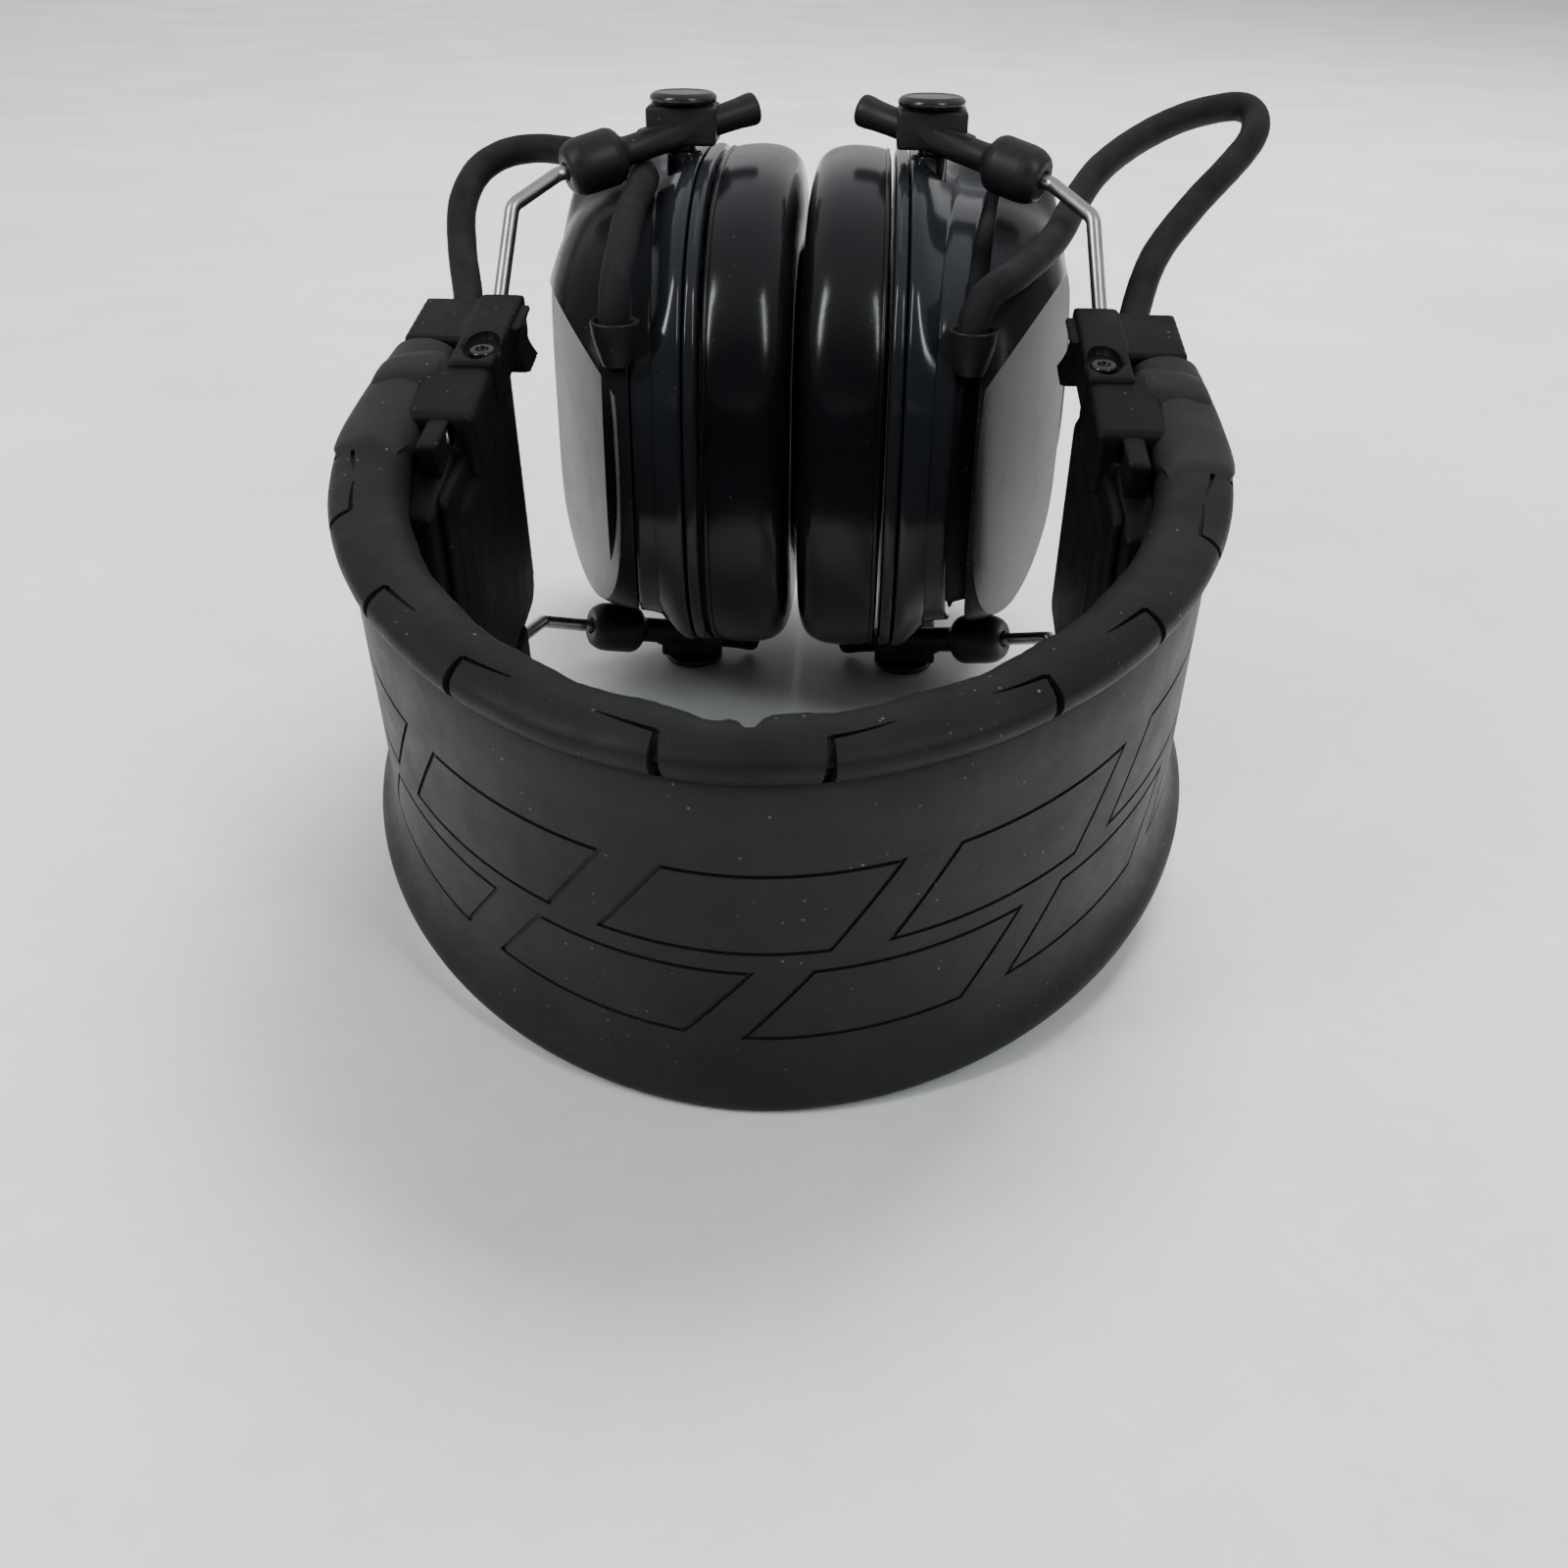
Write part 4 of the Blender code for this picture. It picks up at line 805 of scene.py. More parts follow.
def rounded_off(obj, grain, passes):
    """Melts a part's edges into broad moulded curves."""
    melt = obj.modifiers.new("melt", "REMESH")
    melt.mode = "VOXEL"
    melt.voxel_size = grain / 1000
    soften = obj.modifiers.new("soften", "SMOOTH")
    soften.factor = 0.5
    soften.iterations = passes
    thin = obj.modifiers.new("thin", "DECIMATE")
    thin.ratio = 0.35
    return applied(obj, None)


def oval_recess(side, y, level):
    """A shallow oval dish round a screw."""
    rings = []
    for z, grow in ((30.2, -0.5), (30.5, -0.15), (31.2, 0.05), (33.0, 0.5)):
        half_x, half_y = (half + grow for half in RECESS_SEMI)
        turns = [2 * math.pi * k / 48 for k in range(48)]
        rings.append([
            (side * (SCREW_X + half_x * math.cos(t)), y + half_y * math.sin(t), level * z) for t in turns
        ])
    return loft_object("recess", rings, BAND)


def wire_hook(side):
    """The flared lip beside the wire's exit."""
    root_x, end_y = 49.0, 118.0
    rings = []
    for f in np.linspace(0, 1, 12):
        near = 109.5 - 1.5 * f
        reach = 44.7 + 1.5 * (1 - (2 * f - 1) ** 2) - 0.5 * (1 - f)
        outline = (
            (root_x, near), (reach + 0.5, near), (reach, near + 0.7), (reach, end_y - 0.7),
            (reach + 0.5, end_y), (root_x, end_y),
        )
        rings.append([(side * x, y, 22.2 + 8.6 * f) for x, y in outline])
    return loft_object("hook", rings, BAND, smooth=40)


def sunk_screw(side, level, y):
    """A dark screw seen at the bottom of its dish."""
    profile = [(0, 0.01), (0, 2.0), (0.5, 2.1), (0.8, 1.9), (0.85, 1.1), (0.3, 0.95), (0.3, 0.01)]
    start, end = (side * SCREW_X, y, level * 30.0), (side * SCREW_X, y, level * 31.0)
    return turned_object("screw", start, end, rounded_profile(profile, 0.12, 2), BAND, 40)


def bracket_shoulder(level):
    """The sloping housing over the wire's leg, between the roll and the inner plate."""

    def lean(p):
        return (p[0], p[1], p[2] - 1.4 if p[1] < 85 and p[2] > 25 else p[2])

    def slope(p):
        return (p[0], p[1], p[2] - 3.5 if p[1] < 65 and p[2] > 10 else p[2])

    block = rounded_box((46.6, 78.5, 19.0), (57.6, 96.5, 31.0), 1.2, BAND, 3, lean)
    foot = rounded_box((49.8, 61.0, 1.0), (57.4, 79.6, 25.5), 1.2, BAND, 3, slope)
    slot = rounded_box((50.1, 78.0, -1.0), (53.5, 110.0, 28.3), 0.2, BAND, 1)
    block = boolean(rounded_off(boolean(block, foot, "UNION"), 0.4, 10), slot)
    return mirrored(block, BAND, (0, 0, 1)) if level < 0 else block


def build_brackets():
    for side_name, side in SIDES.items():

        def add(obj, name, look, *cad):
            finish_piece(obj, f"bracket_{name}_{side_name}", look, "headband", "matt_plastic", *cad)

        plate = f"bracket_plate_{side_name}"
        body = rounded_off(softened(f"end_bracket_{side_name}", 0.5), 0.42, 14)
        for level_name, level in LEVELS.items():
            y = SCREW_Y[level_name]
            boolean(body, oval_recess(side, y, level))
            screw = f"bracket_screw_{level_name}_{side_name}"
            add(sunk_screw(side, level, y), f"screw_head_{level_name}", "cap", screw)
            add(on_side(bracket_shoulder(level), side), f"shoulder_{level_name}", "bracket")
        add(body, "body", "bracket", f"end_bracket_{side_name}")
        add(rounded_off(wire_hook(side), 0.3, 6), "hook", "bracket")
        add(rounded_off(softened(plate, 0.35), 0.5, 10), "panel", "bracket", plate)


build_brackets()


# ---------------------------------------------------------------- forks, bars and pivots
WIRE_X, WIRE_BASE_Y, WIRE_LEG_Z, WIRE_RADIUS = 51.8, 80.0, 26.5, 1.25
EXIT_Y = {"upper": 121.5, "lower": 98.5}
WIRE_BEND, BEND_RADIUS = Vector((49.5, 123.0, 38.8)), 2.6
COLLAR = Vector((41.5, 131.5, 43.2))
BAR_END = Vector((9.5, 148.2, 52.2))
COLLAR_LENGTH, SOCKET_DEPTH, BAR_RADIUS, COLLAR_RADIUS = 10.2, 7.0, 2.5, 4.9
BLOCK_LOW, BLOCK_HIGH = (16.0, 139.3, 46.6), (28.4, 149.9, 53.1)


def filleted(points, radius, steps=10):
    """A path through the points, with an arc at each corner."""
    path = [Vector(points[0])]
    for before, corner, after in zip(points, points[1:], points[2:]):
        a = (before - corner).normalized()
        b = (after - corner).normalized()
        half = a.angle(b) / 2
        if half > math.radians(88):
            path.append(corner)
            continue
        cut = radius / math.tan(half)
        centre = corner + (a + b).normalized() * (radius / math.sin(half))
        first, last = corner + a * cut - centre, corner + b * cut - centre
        path += [centre + radius * first.slerp(last, k / steps).normalized() for k in range(steps + 1)]
    path.append(points[-1])
    return path


def fork_points():
    inward = (BAR_END - COLLAR).normalized()
    ends = []
    for level, up in LEVELS.items():
        above = (COLLAR + inward * (SOCKET_DEPTH - 0.3), COLLAR - inward * 1.6, WIRE_BEND)
        ends.append([Vector((p.x, p.y, up * p.z)) for p in above] + [
            TIP @ Vector((WIRE_X, EXIT_Y[level], up * WIRE_LEG_Z)),
            TIP @ Vector((WIRE_X, WIRE_BASE_Y, up * WIRE_LEG_Z)),
        ])
    return filleted(ends[0] + ends[1][::-1], BEND_RADIUS)


def bar_strip(collar):
    """A flat, raised strip along the rod, plain where the real one is marked."""
    d = square_frame(COLLAR - BAR_END)[0]
    low, high = BAR_END + d * 9.0, BAR_END + d * (collar - 4.5)
    above = Vector((0, 0, 1)) - d * d.z
    above.normalize()
    lateral = d.cross(above).normalized()
    rings = []
    for centre, thin in ((low, 0.15), (low + d * 0.5, 0), (high - d * 0.5, 0), (high, 0.15)):
        half, top_half, shoulder, top = 1.5 - thin, 1.2 - thin, 2.35 - thin, 2.62 - thin
        section = (
            (half, 0.8), (half, shoulder), (top_half, top), (-top_half, top), (-half, shoulder), (-half, 0.8),
        )
        rings.append([centre + lateral * a + above * b for a, b in section])
    return loft_object("strip", rings, UP)


def bar_piece(up):
    length = (COLLAR - BAR_END).length
    collar = length - COLLAR_LENGTH
    profile = [
        (0.0, 0.01), (0.0, 2.4), (0.25, 2.72), (0.8, 2.82), (1.8, 2.78), (3.4, 2.6), (6.5, BAR_RADIUS),
        (collar - 1.6, BAR_RADIUS), (collar - 0.9, 2.7), (collar - 0.5, 3.2), (collar, 4.0),
        (collar + 0.6, 4.55), (collar + 1.6, COLLAR_RADIUS), (collar + 6.6, COLLAR_RADIUS),
        (collar + 8.0, 4.75), (collar + 9.0, 4.35), (length - 0.35, 3.8), (length, 3.2),
        (length, WIRE_RADIUS + 0.35), (length - 3.0, WIRE_RADIUS + 0.3), (length - 3.0, 0.01),
    ]
    obj = turned_object("bar", BAR_END, COLLAR, rounded_profile(profile, 0.25, 2), UP, 48)
    obj = boolean(obj, rounded_box(BLOCK_LOW, BLOCK_HIGH, 0.7, UP, 3), "UNION")
    obj = boolean(obj, bar_strip(collar), "UNION")
    for low, high, radius, sides in ((42, 58, 2.3, 32), (BLOCK_HIGH[2], 60, 6.6, 64)):
        start, end = (PIVOT_X, PIVOT_Y, low), (PIVOT_X, PIVOT_Y, high)
        obj = boolean(obj, cylinder(start, end, radius, UP, sides, 0.05))
    return mirrored(obj, UP, (0, 0, 1)) if up < 0 else obj


def pin_piece(up):
    """The pivot cap: a shallow dished disc with a fine rim, on its shank."""
    profile = [
        (0, 0.01), (0, 1.7), (0.4, 2.0), (11.6, 2.0), (11.6, 5.5), (11.75, 5.75), (12.0, 5.95), (12.5, 6.0),
        (12.9, 5.8), (13.25, 5.35), (13.4, 5.0), (13.4, 4.75), (13.28, 4.6), (13.25, 4.2), (13.32, 2.2),
        (13.36, 0.01),
    ]
    start, end = (PIVOT_X, PIVOT_Y, up * 41.8), (PIVOT_X, PIVOT_Y, up * CAP_TOP_Z)
    return turned_object("pin", start, end, rounded_profile(profile, 0.12, 2), UP, 72)


def build_forks():
    for side_name, side in SIDES.items():

        def add(obj, name, look, body, slot, cad):
            finish_piece(on_side(obj, side), f"{name}_{side_name}", look, body, slot, f"{cad}_{side_name}")

        fork, cup = f"fork_{side_name}", f"cup_{side_name}"
        wire = loft_object("wire", tube_rings(fork_points(), WIRE_RADIUS, 24), UP, smooth=60)
        add(wire, "fork_wire", "wire", fork, "steel_wire", "wire_fork")
        for level, up in LEVELS.items():
            add(bar_piece(up), f"bar_{level}", "matt", fork, "matt_plastic", f"pivot_bar_{level}")
            add(pin_piece(up), f"cap_{level}", "cap", cup, "matt_plastic", f"pivot_pin_{level}")


build_forks()


# ---------------------------------------------------------------- ear cups
CUP_Y, CUP_POWER, CUP_POINTS = 150.0, 2.7, 144
COVER_HINGE, COVER_LIFT = (39.9, 199.4, 0.0), math.radians(2.0)
GLAND, GLAND_Z = (29.3, 101.6), (17.5, 24.9)
CONTROL_X, END_WALL_Y = 26.6, 199.9
BUTTON_Z = {"volume_down": -15, "power": 0, "volume_up": 15}
BUTTON_HOLE, SOCKET_HOLE, SOCKET_Z = 3.9, 3.5, -12
SWELL_HEIGHT = 6


def eased(part):
    """A smooth step from 0 to 1, for numbers or arrays."""
    part = np.clip(part, 0, 1)
    return part * part * (3 - 2 * part)


def swell(x, y, z):
    """How much the rear shoulders of the shell and cover rise at a point, above and below."""
    share = eased((x - 23) / 8) * eased((y - 150) / 16) * eased((np.abs(z) - 14) / 22)
    return SWELL_HEIGHT * share * np.sign(z)


def cup_ring(station, count=CUP_POINTS):
    """An even ring, from (distance from mid-plane, its growth with y, half length, half width)."""
    x, slope, half_length, half_width = station
    t = np.linspace(0, 2 * math.pi, 2881)
    c, s = np.cos(t), np.sin(t)
    y = half_length * np.sign(c) * np.abs(c) ** (2 / CUP_POWER)
    z = half_width * np.sign(s) * np.abs(s) ** (2 / CUP_POWER)
    along = walked(np.array([y, z]).T)
    at = np.linspace(0, along[-1], count + 1)[:-1]
    y, z = np.interp(at, along, y), np.interp(at, along, z)
    z = z + swell(x, CUP_Y + y, z)
    return [Vector((x + slope * yy, CUP_Y + yy, zz)) for yy, zz in zip(y, z)]


def stations(*runs, steps=4):
    """Profile stations read from smooth runs. A run of two stations stays straight."""
    out = []
    for run in runs:
        out += run if len(run) == 2 else [tuple(station) for station in catmull(run, steps)]
    return out


def cup_loft(name, profile, closed=False, smooth=30.0, count=CUP_POINTS):
    return loft_object(name, [cup_ring(s, count) for s in profile], UP, closed, smooth)


def lifted(obj):
    """Swings a right cover's part out to where it stands off the shell."""
    there = Matrix.Translation(COVER_HINGE)
    swing = there @ Matrix.Rotation(COVER_LIFT, 4, "Z") @ there.inverted()
    obj.data.transform(UP @ swing @ UP.inverted())
    return obj


# The gland's outer line, as (part of its length, radius): a funnel with a thin rolled rim
GLAND_FUNNEL = [(0.0, 2.3), (0.25, 2.9), (0.5, 3.5), (0.7, 3.85), (0.88, 4.0), (0.95, 4.15), (1.0, 4.05)]
GLAND_LENGTH = GLAND_Z[1] - GLAND_Z[0]


def gland_room():
    """The gland's outside with a small gap round it, for cutting its seat in the cup."""
    funnel = [(f * GLAND_LENGTH - 0.1, r + 0.3) for f, r in GLAND_FUNNEL]
    profile = [(-0.3, 0.01)] + funnel + [(GLAND_LENGTH + 3, 4.35), (GLAND_LENGTH + 3, 0.01)]
    return turned_object("room", (*GLAND, GLAND_Z[0]), (*GLAND, GLAND_Z[1]), profile, UP, 48)


def gland_piece():
    profile = [(0, 0.01)] + [(f * GLAND_LENGTH, r) for f, r in GLAND_FUNNEL] + [
        (GLAND_LENGTH, 3.5), (GLAND_LENGTH - 0.5, 3.15), (GLAND_LENGTH - 1.6, 2.9), (1.2, 2.2), (1.2, 0.01),
    ]
    profile = rounded_profile(profile, 0.25, 2)
    return turned_object("gland", (*GLAND, GLAND_Z[0]), (*GLAND, GLAND_Z[1]), profile, UP, 64)


SHELL_IN = [
    (28.9, 0.105, 46.9, 35.8), (27.4, 0.085, 47.5, 36.6), (24.0, 0.045, 47.8, 40.4), (19.6, 0, 47.8, 42.8),
    (18.7, 0, 47.2, 42.4),
]
SHELL_OUT = [
    (18.7, 0, 48.9, 44.1), (18.8, 0, 49.5, 44.6), (19.2, 0, 49.9, 44.9), (19.8, 0, 50.0, 45.0),
    (21.6, 0.02, 50.0, 44.4), (23.5, 0.04, 50.0, 43.0), (25.6, 0.06, 49.95, 41.0), (27.6, 0.085, 49.9, 39.5),
]
SHELL_STEP = [(27.7, 0.086, 49.72, 39.3), (27.95, 0.088, 49.72, 39.15)]
SHELL_RIM = [(28.1, 0.09, 49.8, 39.05), (30.4, 0.11, 49.65, 38.6), (33.1, 0.13, 49.5, 38.4)]
SHELL_TOP = [(33.4, 0.13, 49.25, 38.15), (33.4, 0.13, 47.3, 36.2)]
SHELL_FLOOR = (30.4, 0.125, 47.0, 35.8)


def shell_piece(side_name):
    outside = stations(SHELL_OUT, SHELL_STEP, SHELL_RIM, SHELL_TOP, steps=3)
    body = cup_loft("shell", SHELL_IN + outside + [SHELL_FLOOR])
    for up in (-1, 1):
        for low, high, radius, sides, edge, operation in (
            (39.5, 45.5, 3.2, 48, 0.4, "UNION"),
            (41.5, 47, 2.3, 32, 0.02, "DIFFERENCE"),
        ):
            start, end = (PIVOT_X, PIVOT_Y, up * low), (PIVOT_X, PIVOT_Y, up * high)
            body = boolean(body, cylinder(start, end, radius, UP, sides, edge), operation)
    holes = [(z, BUTTON_HOLE) for z in BUTTON_Z.values()] if side_name == "left" else [(SOCKET_Z, SOCKET_HOLE)]
    for z, radius in holes:
        start, end = (CONTROL_X, END_WALL_Y - 5, z), (CONTROL_X, END_WALL_Y + 3, z)
        body = boolean(body, cylinder(start, end, radius, UP, 48, 0.02))
    return boolean(body, gland_room())


COVER_OUT = [
    (33.7, 0.13, 49.1, 38.0), (33.8, 0.13, 49.35, 38.25), (34.3, 0.13, 49.5, 38.3), (35.3, 0.13, 49.6, 38.2),
    (38.0, 0.12, 49.2, 37.4), (41.9, 0.10, 47.0, 35.0), (45.2, 0.085, 42.5, 30.5), (47.6, 0.075, 36.0, 24.0),
    (48.5, 0.075, 29.0, 18.0), (48.75, 0.075, 18.0, 10.0), (48.8, 0.075, 6.0, 3.0),
]
COVER_IN = [
    (46.5, 0.075, 10.0, 6.0), (46.4, 0.075, 28.0, 17.0), (45.4, 0.075, 34.5, 22.5), (43.4, 0.085, 40.5, 28.5),
    (40.6, 0.10, 44.8, 32.8), (37.6, 0.12, 46.8, 35.1), (33.0, 0.13, 47.2, 36.1), (31.0, 0.13, 47.2, 36.1),
]
# The flat facet of each cover: two points on its crease, and one on its far side
FACETS = {
    "left": ((30.0, 101.8, 12.5), (46.5, 141.0, 22.0), (30.0, 101.8, -40.0)),
    "right": ((31.2, 99.8, 14.5), (47.6, 141.0, 25.0), (31.2, 99.8, -40.0)),
}
LEDGE, FACET_WALL, FACET_REACH = math.radians(58), 2.2, 90


def facet_tool(side_name, inset=0.0):
    """A wedge whose two faces leave a flat facet and a sloping ledge above it."""
    near, far, below = (Vector(p) for p in FACETS[side_name])
    along = (far - near).normalized()
    down = below - near
    down = (down - along * down.dot(along)).normalized()
    outward = along.cross(down).normalized()
    if outward.x < 0:
        outward = -outward
    near = near - outward * inset - down * inset * math.tan(LEDGE / 2)
    deep, wide = down * FACET_REACH, outward * FACET_REACH
    rings = []
    for k in (-1, 1):
        base = near + along * FACET_REACH * k
        rings.append([base, base + deep, base + deep + wide, base - deep * math.tan(LEDGE) + wide])
    return loft_object("wedge", rings, UP, smooth=None)


def cover_solid(side_name):
    body = cup_loft("cover", stations(COVER_OUT, steps=3))
    inner = cup_loft("inner", COVER_IN, count=72)
    if side_name == "right":
        body, inner = lifted(body), lifted(inner)
    body = boolean(body, facet_tool(side_name))
    inner = boolean(inner, facet_tool(side_name, FACET_WALL))
    return boolean(bevelled(body, 0.9, 3, 12), inner)


HATCH_HINGE, HATCH_HALF = (42.2, 201.3), 9


def hatch_window(shrink):
    low, high = (42.4 + shrink, 185 + shrink, -14 + shrink), (56 - shrink, 212, 14 - shrink)
    return rounded_box(low, high, 0.8, UP, 2)


def hatch_lid(cover):
    """The lid cut from a copy of the cover, with its hinge rod and the tab that holds it."""
    x, y = HATCH_HINGE
    tab = rounded_box((x - 0.6, y - 2.4, -HATCH_HALF), (x + 2.4, y + 0.4, HATCH_HALF), 0.3, UP, 2)
    step = rounded_box((x - 2, y - 4, -HATCH_HALF - 1), (42.7, y - 1.3, HATCH_HALF + 1), 0.05, UP, 1)
    rod = cylinder((x, y, -HATCH_HALF), (x, y, HATCH_HALF), 1.1, UP, 32, 0.2)
    lid = boolean(added("lid", cover.data.copy()), hatch_window(0.3), "INTERSECT")
    return boolean(boolean(lid, boolean(tab, step), "UNION"), rod, "UNION")


TRIM_Y, DOME_SLOPE = 165.0, 0.075
TRIM_STATIONS = [
    (48.9, 11.5, 14.3), (49.35, 11.6, 14.4), (49.65, 11.3, 14.1), (49.7, 10.9, 13.7), (49.68, 10.4, 13.2),
    (49.5, 10.1, 12.9), (49.45, 6.0, 8.0),
]


def trim_piece(side_name):
    """The small plate on the dome: a raised border round a sunk field with a round port."""
    rings = []
    for x, half_length, half_width in TRIM_STATIONS:
        ring = cup_ring((x, 0.0, half_length, half_width), 96)
        rings.append([
            Vector((x + DOME_SLOPE * (p.y + TRIM_Y - 2 * CUP_Y), p.y + TRIM_Y - CUP_Y, p.z)) for p in ring
        ])
    top = 49.4 + DOME_SLOPE * (TRIM_Y - CUP_Y)
    port = cylinder((top - 0.35, TRIM_Y, 0), (top + 2, TRIM_Y, 0), 2.0, UP, 48, 0.02)
    plate = boolean(loft_object("trim", rings, UP), port)
    return lifted(plate) if side_name == "right" else plate


# ---------------------------------------------------------------- cushions and other rings in the cups
CUSHION_FRONT = [
    (15.6, 0, 48.4, 42.5), (14.9, 0, 49.6, 43.7), (13.4, 0, 50.2, 44.3), (10.8, 0, 50.55, 44.65),
    (8.0, 0, 50.6, 44.7), (5.4, 0, 50.3, 44.35), (3.2, 0, 49.4, 43.4), (1.7, 0, 47.8, 41.7),
    (0.95, 0, 45.4, 39.2), (0.7, 0, 42.6, 36.2), (0.65, 0, 39.6, 33.0), (0.8, 0, 36.6, 29.6),
    (1.5, 0, 34.2, 27.0), (2.9, 0, 32.6, 25.2), (5.2, 0, 31.7, 24.3), (8.6, 0, 31.5, 24.0),
    (12.2, 0, 32.0, 24.4), (15.6, 0, 33.4, 25.7),
]
CUSHION_POINTS, CUSHION_BACK, CUSHION_CAP, CLOTH_FRAMES = 120, 15.6, 0.0005, 20


def simulate_cushion(obj, pinned):
    """Inflates a cushion with its back row pinned, and keeps every point near where it started."""
    start = np.array([v.co for v in obj.data.vertices])
    group = obj.vertex_groups.new(name="pinned")
    group.add(pinned, 1.0, "REPLACE")
    cloth = obj.modifiers.new("cloth", "CLOTH")
    settings = cloth.settings
    settings.vertex_group_mass = "pinned"
    settings.use_pressure = True
    settings.uniform_pressure_force = 4.0
    settings.quality = 6
    settings.mass = 0.15
    settings.tension_stiffness = 25
    settings.compression_stiffness = 25
    settings.bending_stiffness = 0.8
    settings.effector_weights.gravity = 0
    cloth.point_cache.frame_start, cloth.point_cache.frame_end = 1, CLOTH_FRAMES
    scene = bpy.context.scene
    for step in range(1, CLOTH_FRAMES + 1):
        scene.frame_set(step)
    mesh = bpy.data.meshes.new_from_object(obj.evaluated_get(bpy.context.evaluated_depsgraph_get()))
    move = np.array([v.co for v in mesh.vertices]) - start
    scene.frame_set(1)
    obj.modifiers.clear()
    obj.vertex_groups.clear()
    size = np.linalg.norm(move, axis=1, keepdims=True)
    move *= np.minimum(1.0, CUSHION_CAP / np.maximum(size, 1e-12))
    obj.data.vertices.foreach_set("co", (start + move).ravel())
    bpy.data.meshes.remove(mesh)


def cushion_piece():
    rings = [cup_ring(s, CUSHION_POINTS) for s in stations(CUSHION_FRONT, steps=2)]
    rows = len(rings)
    # Soft gathers towards the opening, where the covering turns inward
    for i, ring in enumerate(rings):
        f = clamped((i - 20) / 8) * clamped((rows - i) / 4)
        for j, p in enumerate(ring):
            turn = 2 * math.pi * j / CUSHION_POINTS
            p.x += 0.10 * f * math.sin(turn * 31 + 0.8 * math.sin(turn * 3))
    obj = loft_object("cushion", rings, UP, closed=True, smooth=None)
    first, last = range(2 * CUSHION_POINTS), range((rows - 2) * CUSHION_POINTS, rows * CUSHION_POINTS)
    simulate_cushion(obj, [*first, *last])
    refine = obj.modifiers.new("refine", "SUBSURF")
    refine.levels = 1
    return applied(obj, None)


def piping_piece():
    """The welded piping that runs round the cushion's outer edge, near the ring."""
    ring = cup_ring((14.75, 0, 49.75, 43.85), 240)
    return loft_object("piping", tube_rings(ring + [ring[0]], 0.42, 10)[:-1], UP, closed=True, smooth=None)


def liner_piece():
    """The foam pad in the cup: slightly crowned, its edge rolled."""
    profile = stations([
        (21.3, 0, 45.6, 39.0), (20.6, 0, 46.3, 39.7), (19.8, 0, 46.0, 39.4), (19.3, 0, 43.5, 37.0),
        (19.1, 0, 34.0, 28.0), (18.9, 0, 18.0, 14.0), (18.85, 0, 4.0, 3.0),
    ], steps=3)
    return cup_loft("liner", [(21.3, 0, 6.0, 4.0)] + profile, smooth=None, count=96)


def skirt_piece():
    """The black collar inside the seam between shell and cover."""
    profile = [
        (30.8, 0.12, 46.5, 35.3), (33.4, 0.12, 46.5, 35.3), (38.0, 0.12, 45.4, 34.0), (38.0, 0.12, 44.6, 33.2),
        (33.4, 0.12, 45.7, 34.5), (30.8, 0.12, 45.7, 34.5),
    ]
    return boolean(cup_loft("skirt", profile, closed=True), gland_room())


def ring_piece():
    """The ring that carries the cushion, rounded on its outer edge."""
    runs = [
        [(16.0, 0, 33.0, 25.0), (16.0, 0, 48.9, 43.4)],
        [(16.0, 0, 48.9, 43.4), (16.15, 0, 49.5, 44.0), (16.5, 0, 49.95, 44.5), (17.0, 0, 50.1, 44.65)],
        [(17.0, 0, 50.1, 44.65), (17.9, 0, 50.05, 44.6), (18.3, 0, 49.8, 44.4), (18.4, 0, 49.3, 44.0)],
        [(18.4, 0, 49.3, 44.0), (18.4, 0, 33.0, 25.0)],
    ]
    return cup_loft("ring", stations(*runs, steps=2), closed=True, smooth=40)


def button_piece(z):
    """A push button: dished cap with a raised spot, and the flange that keeps it in."""
    half = 49.9 * (1 - (abs(z) / 42.8) ** CUP_POWER) ** (1 / CUP_POWER)
    outside = CUP_Y + half + 1.5
    profile = [
        (0.12, 0.01), (0.12, 0.55), (0.3, 0.7), (0.35, 1.0), (0.3, 2.2), (0.0, 2.9), (0.15, 3.35), (0.5, 3.55),
        (1.2, 3.6), (4.4, 3.6), (4.4, 0.01),
    ]
    start, end = (CONTROL_X, outside, z), (CONTROL_X, outside - 5, z)
    return turned_object("button", start, end, rounded_profile(profile, 0.1, 2), UP, 56)


def build_cups():
    for side_name, side in SIDES.items():
        cup = f"cup_{side_name}"

        def add(obj, name, look, slot, *cad):
            nodes = [f"{node_name}_{side_name}" for node_name in cad]
            return finish_piece(on_side(obj, side), f"{name}_{side_name}", look, cup, slot, *nodes)

        add(shell_piece(side_name), "shell", "gloss", "shell_plastic", "cup_shell")
        cover = cover_solid(side_name)
        if side_name == "right":
            finish_piece(hatch_lid(cover), "hatch_lid", "cover", "hatch", "shell_plastic", "battery_hatch")
            cover = boolean(cover, hatch_window(0))
        add(boolean(cover, gland_room()), "cover", "cover", "shell_plastic", "outer_cover")
        add(trim_piece(side_name), "trim", "trim", "trim_grey", "trim_plate")
        add(skirt_piece(), "skirt", "pad", "shell_plastic")
        add(ring_piece(), "ring", "gloss", "shell_plastic", "seal_ring")
        add(gland_piece(), "gland", "matt", "matt_plastic", "cord_gland")
        add(liner_piece(), "liner", "foam", "grey_foam", "foam_liner")
        cushion = add(cushion_piece(), "cushion", "vinyl", "cushion_vinyl", "ear_cushion")
        for soft in (cushion, add(piping_piece(), "cushion_piping", "vinyl", "cushion_vinyl")):
            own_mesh(soft)
    for name, z in BUTTON_Z.items():
        body = f"{name}_button"
        finish_piece(on_side(button_piece(z), SIDES["left"]), f"{name}_key", "pad", body, "button_rubber", body)


build_cups()


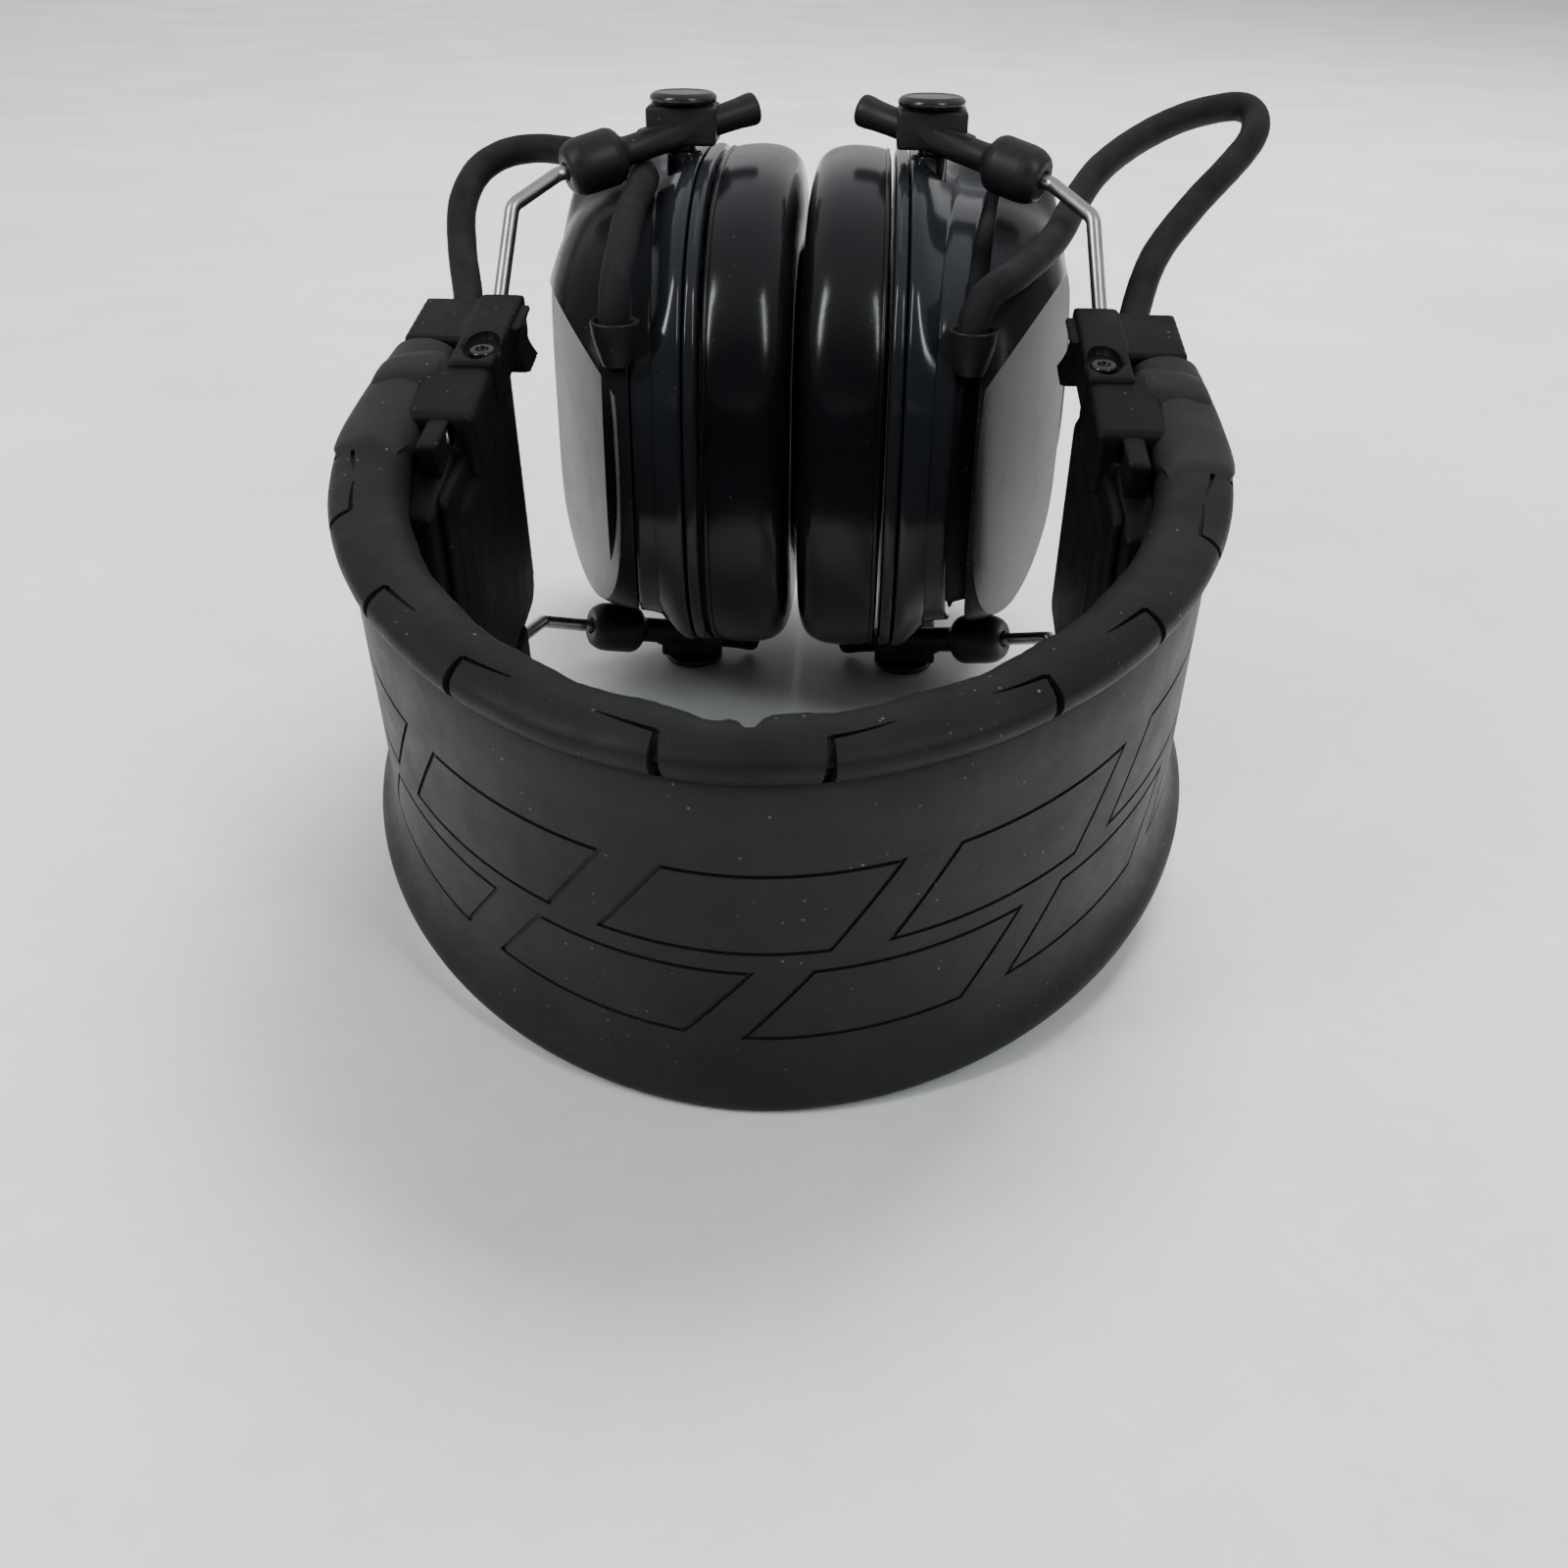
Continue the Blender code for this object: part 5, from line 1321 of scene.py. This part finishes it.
# ---------------------------------------------------------------- carried-over CAD parts
CARRIED = {
    "cap": ("headband_spring",),
    "cord": ("headband_lead",),
    "matt": ("speaker_left", "speaker_right", "audio_socket"),
    "board": ("circuit_board",),
    "ferrite": ("ferrite_antenna",),
    "steel": ("battery_contact_near", "battery_contact_far"),
    "cell": ("battery_cell_1", "battery_cell_2"),
}
for look, node_names in CARRIED.items():
    for node_name in node_names:
        frame["nodes"][node_name].data.materials[0] = LOOKS[look]


# ---------------------------------------------------------------- floor and light
FLOOR_HALF, FLOOR_STEPS = 4.0, 24
ROOM_STRENGTH = 0.62
WARM, COOL = (1.0, 1.0, 0.98), (0.93, 0.97, 1.0)


def build_floor():
    made, tree, shader = new_material("table_top")
    coords = scaled_coords(tree)
    cloud = noise_at(tree, coords, 9, 6, 0.62)
    fine = noise_at(tree, coords, 160, 8, 0.75)
    mix = node(tree, "ShaderNodeMath", {0: fine, 1: 0.5, 2: cloud}, operation="MULTIPLY_ADD").outputs[0]
    tone = ramp(tree, mix, [(0.55, (0.71, 0.715, 0.70)), (0.95, (0.82, 0.825, 0.81))])
    feed(shader, {"Base Color": tone, "Roughness": map_range(tree, cloud, 0.3, 0.7, 0.45, 0.6)})
    add_bump(shader, (fine, 0.25, 0.0002))
    side = FLOOR_STEPS + 1
    at = [-FLOOR_HALF + 2 * FLOOR_HALF * k / FLOOR_STEPS for k in range(side)]
    mesh = bpy.data.meshes.new("table_top")
    faces = grid_faces(side, side, closed_columns=False, caps=False)
    mesh.from_pydata([(x, y, -0.0001) for y in at for x in at], [], faces)
    mesh.materials.append(made)
    added("table_top", mesh)


def area_light(name, place_at, target, size, energy, colour, size_y=None):
    data = bpy.data.lights.new(name, "AREA")
    data.shape = "RECTANGLE" if size_y else "SQUARE"
    data.size = size
    if size_y:
        data.size_y = size_y
    data.energy = energy
    data.color = colour
    obj = added(name, data)
    obj.location = place_at
    obj.rotation_euler = (Vector(target) - Vector(place_at)).to_track_quat("-Z", "Y").to_euler()
    return obj


def build_light():
    world = bpy.data.worlds.new("room")
    bpy.context.scene.world = world
    world.use_nodes = True
    tree = world.node_tree
    coords = node(tree, "ShaderNodeTexCoord").outputs["Generated"]
    spread = node(tree, "ShaderNodeSeparateXYZ", {0: coords}).outputs
    lean = node(tree, "ShaderNodeMath", {0: spread["Y"], 1: 0.55, 2: spread["Z"]}, operation="MULTIPLY_ADD")
    tone = ramp(tree, map_range(tree, lean.outputs[0], -0.5, 1.1, 0, 1), [
        (0.0, (0.10, 0.105, 0.115)), (0.22, (0.14, 0.145, 0.155)), (0.42, (0.60, 0.62, 0.64)),
        (0.7, (0.95, 0.97, 1.0)),
    ])
    feed(tree.nodes["Background"], {"Color": tone, "Strength": ROOM_STRENGTH})
    overhead = area_light("overhead", (0.3, 0.72, 1.3), (0, 0.1, 0), 0.75, 33, WARM)
    rear = area_light("rear", (-0.5, 2.4, 1.3), (-0.1, 1.0, 0), 1.4, 22, WARM)
    # These two soften the shadows but don't show up as patches in the glossy parts
    overhead.visible_glossy = False
    rear.visible_glossy = False
    area_light("window_left", (-0.62, -0.45, 0.62), (0, 0, 0.05), 0.12, 4.6, COOL, 0.55)
    area_light("window_right", (0.55, -0.62, 0.66), (0, 0, 0.05), 0.10, 3.2, COOL, 0.55)


build_floor()
build_light()
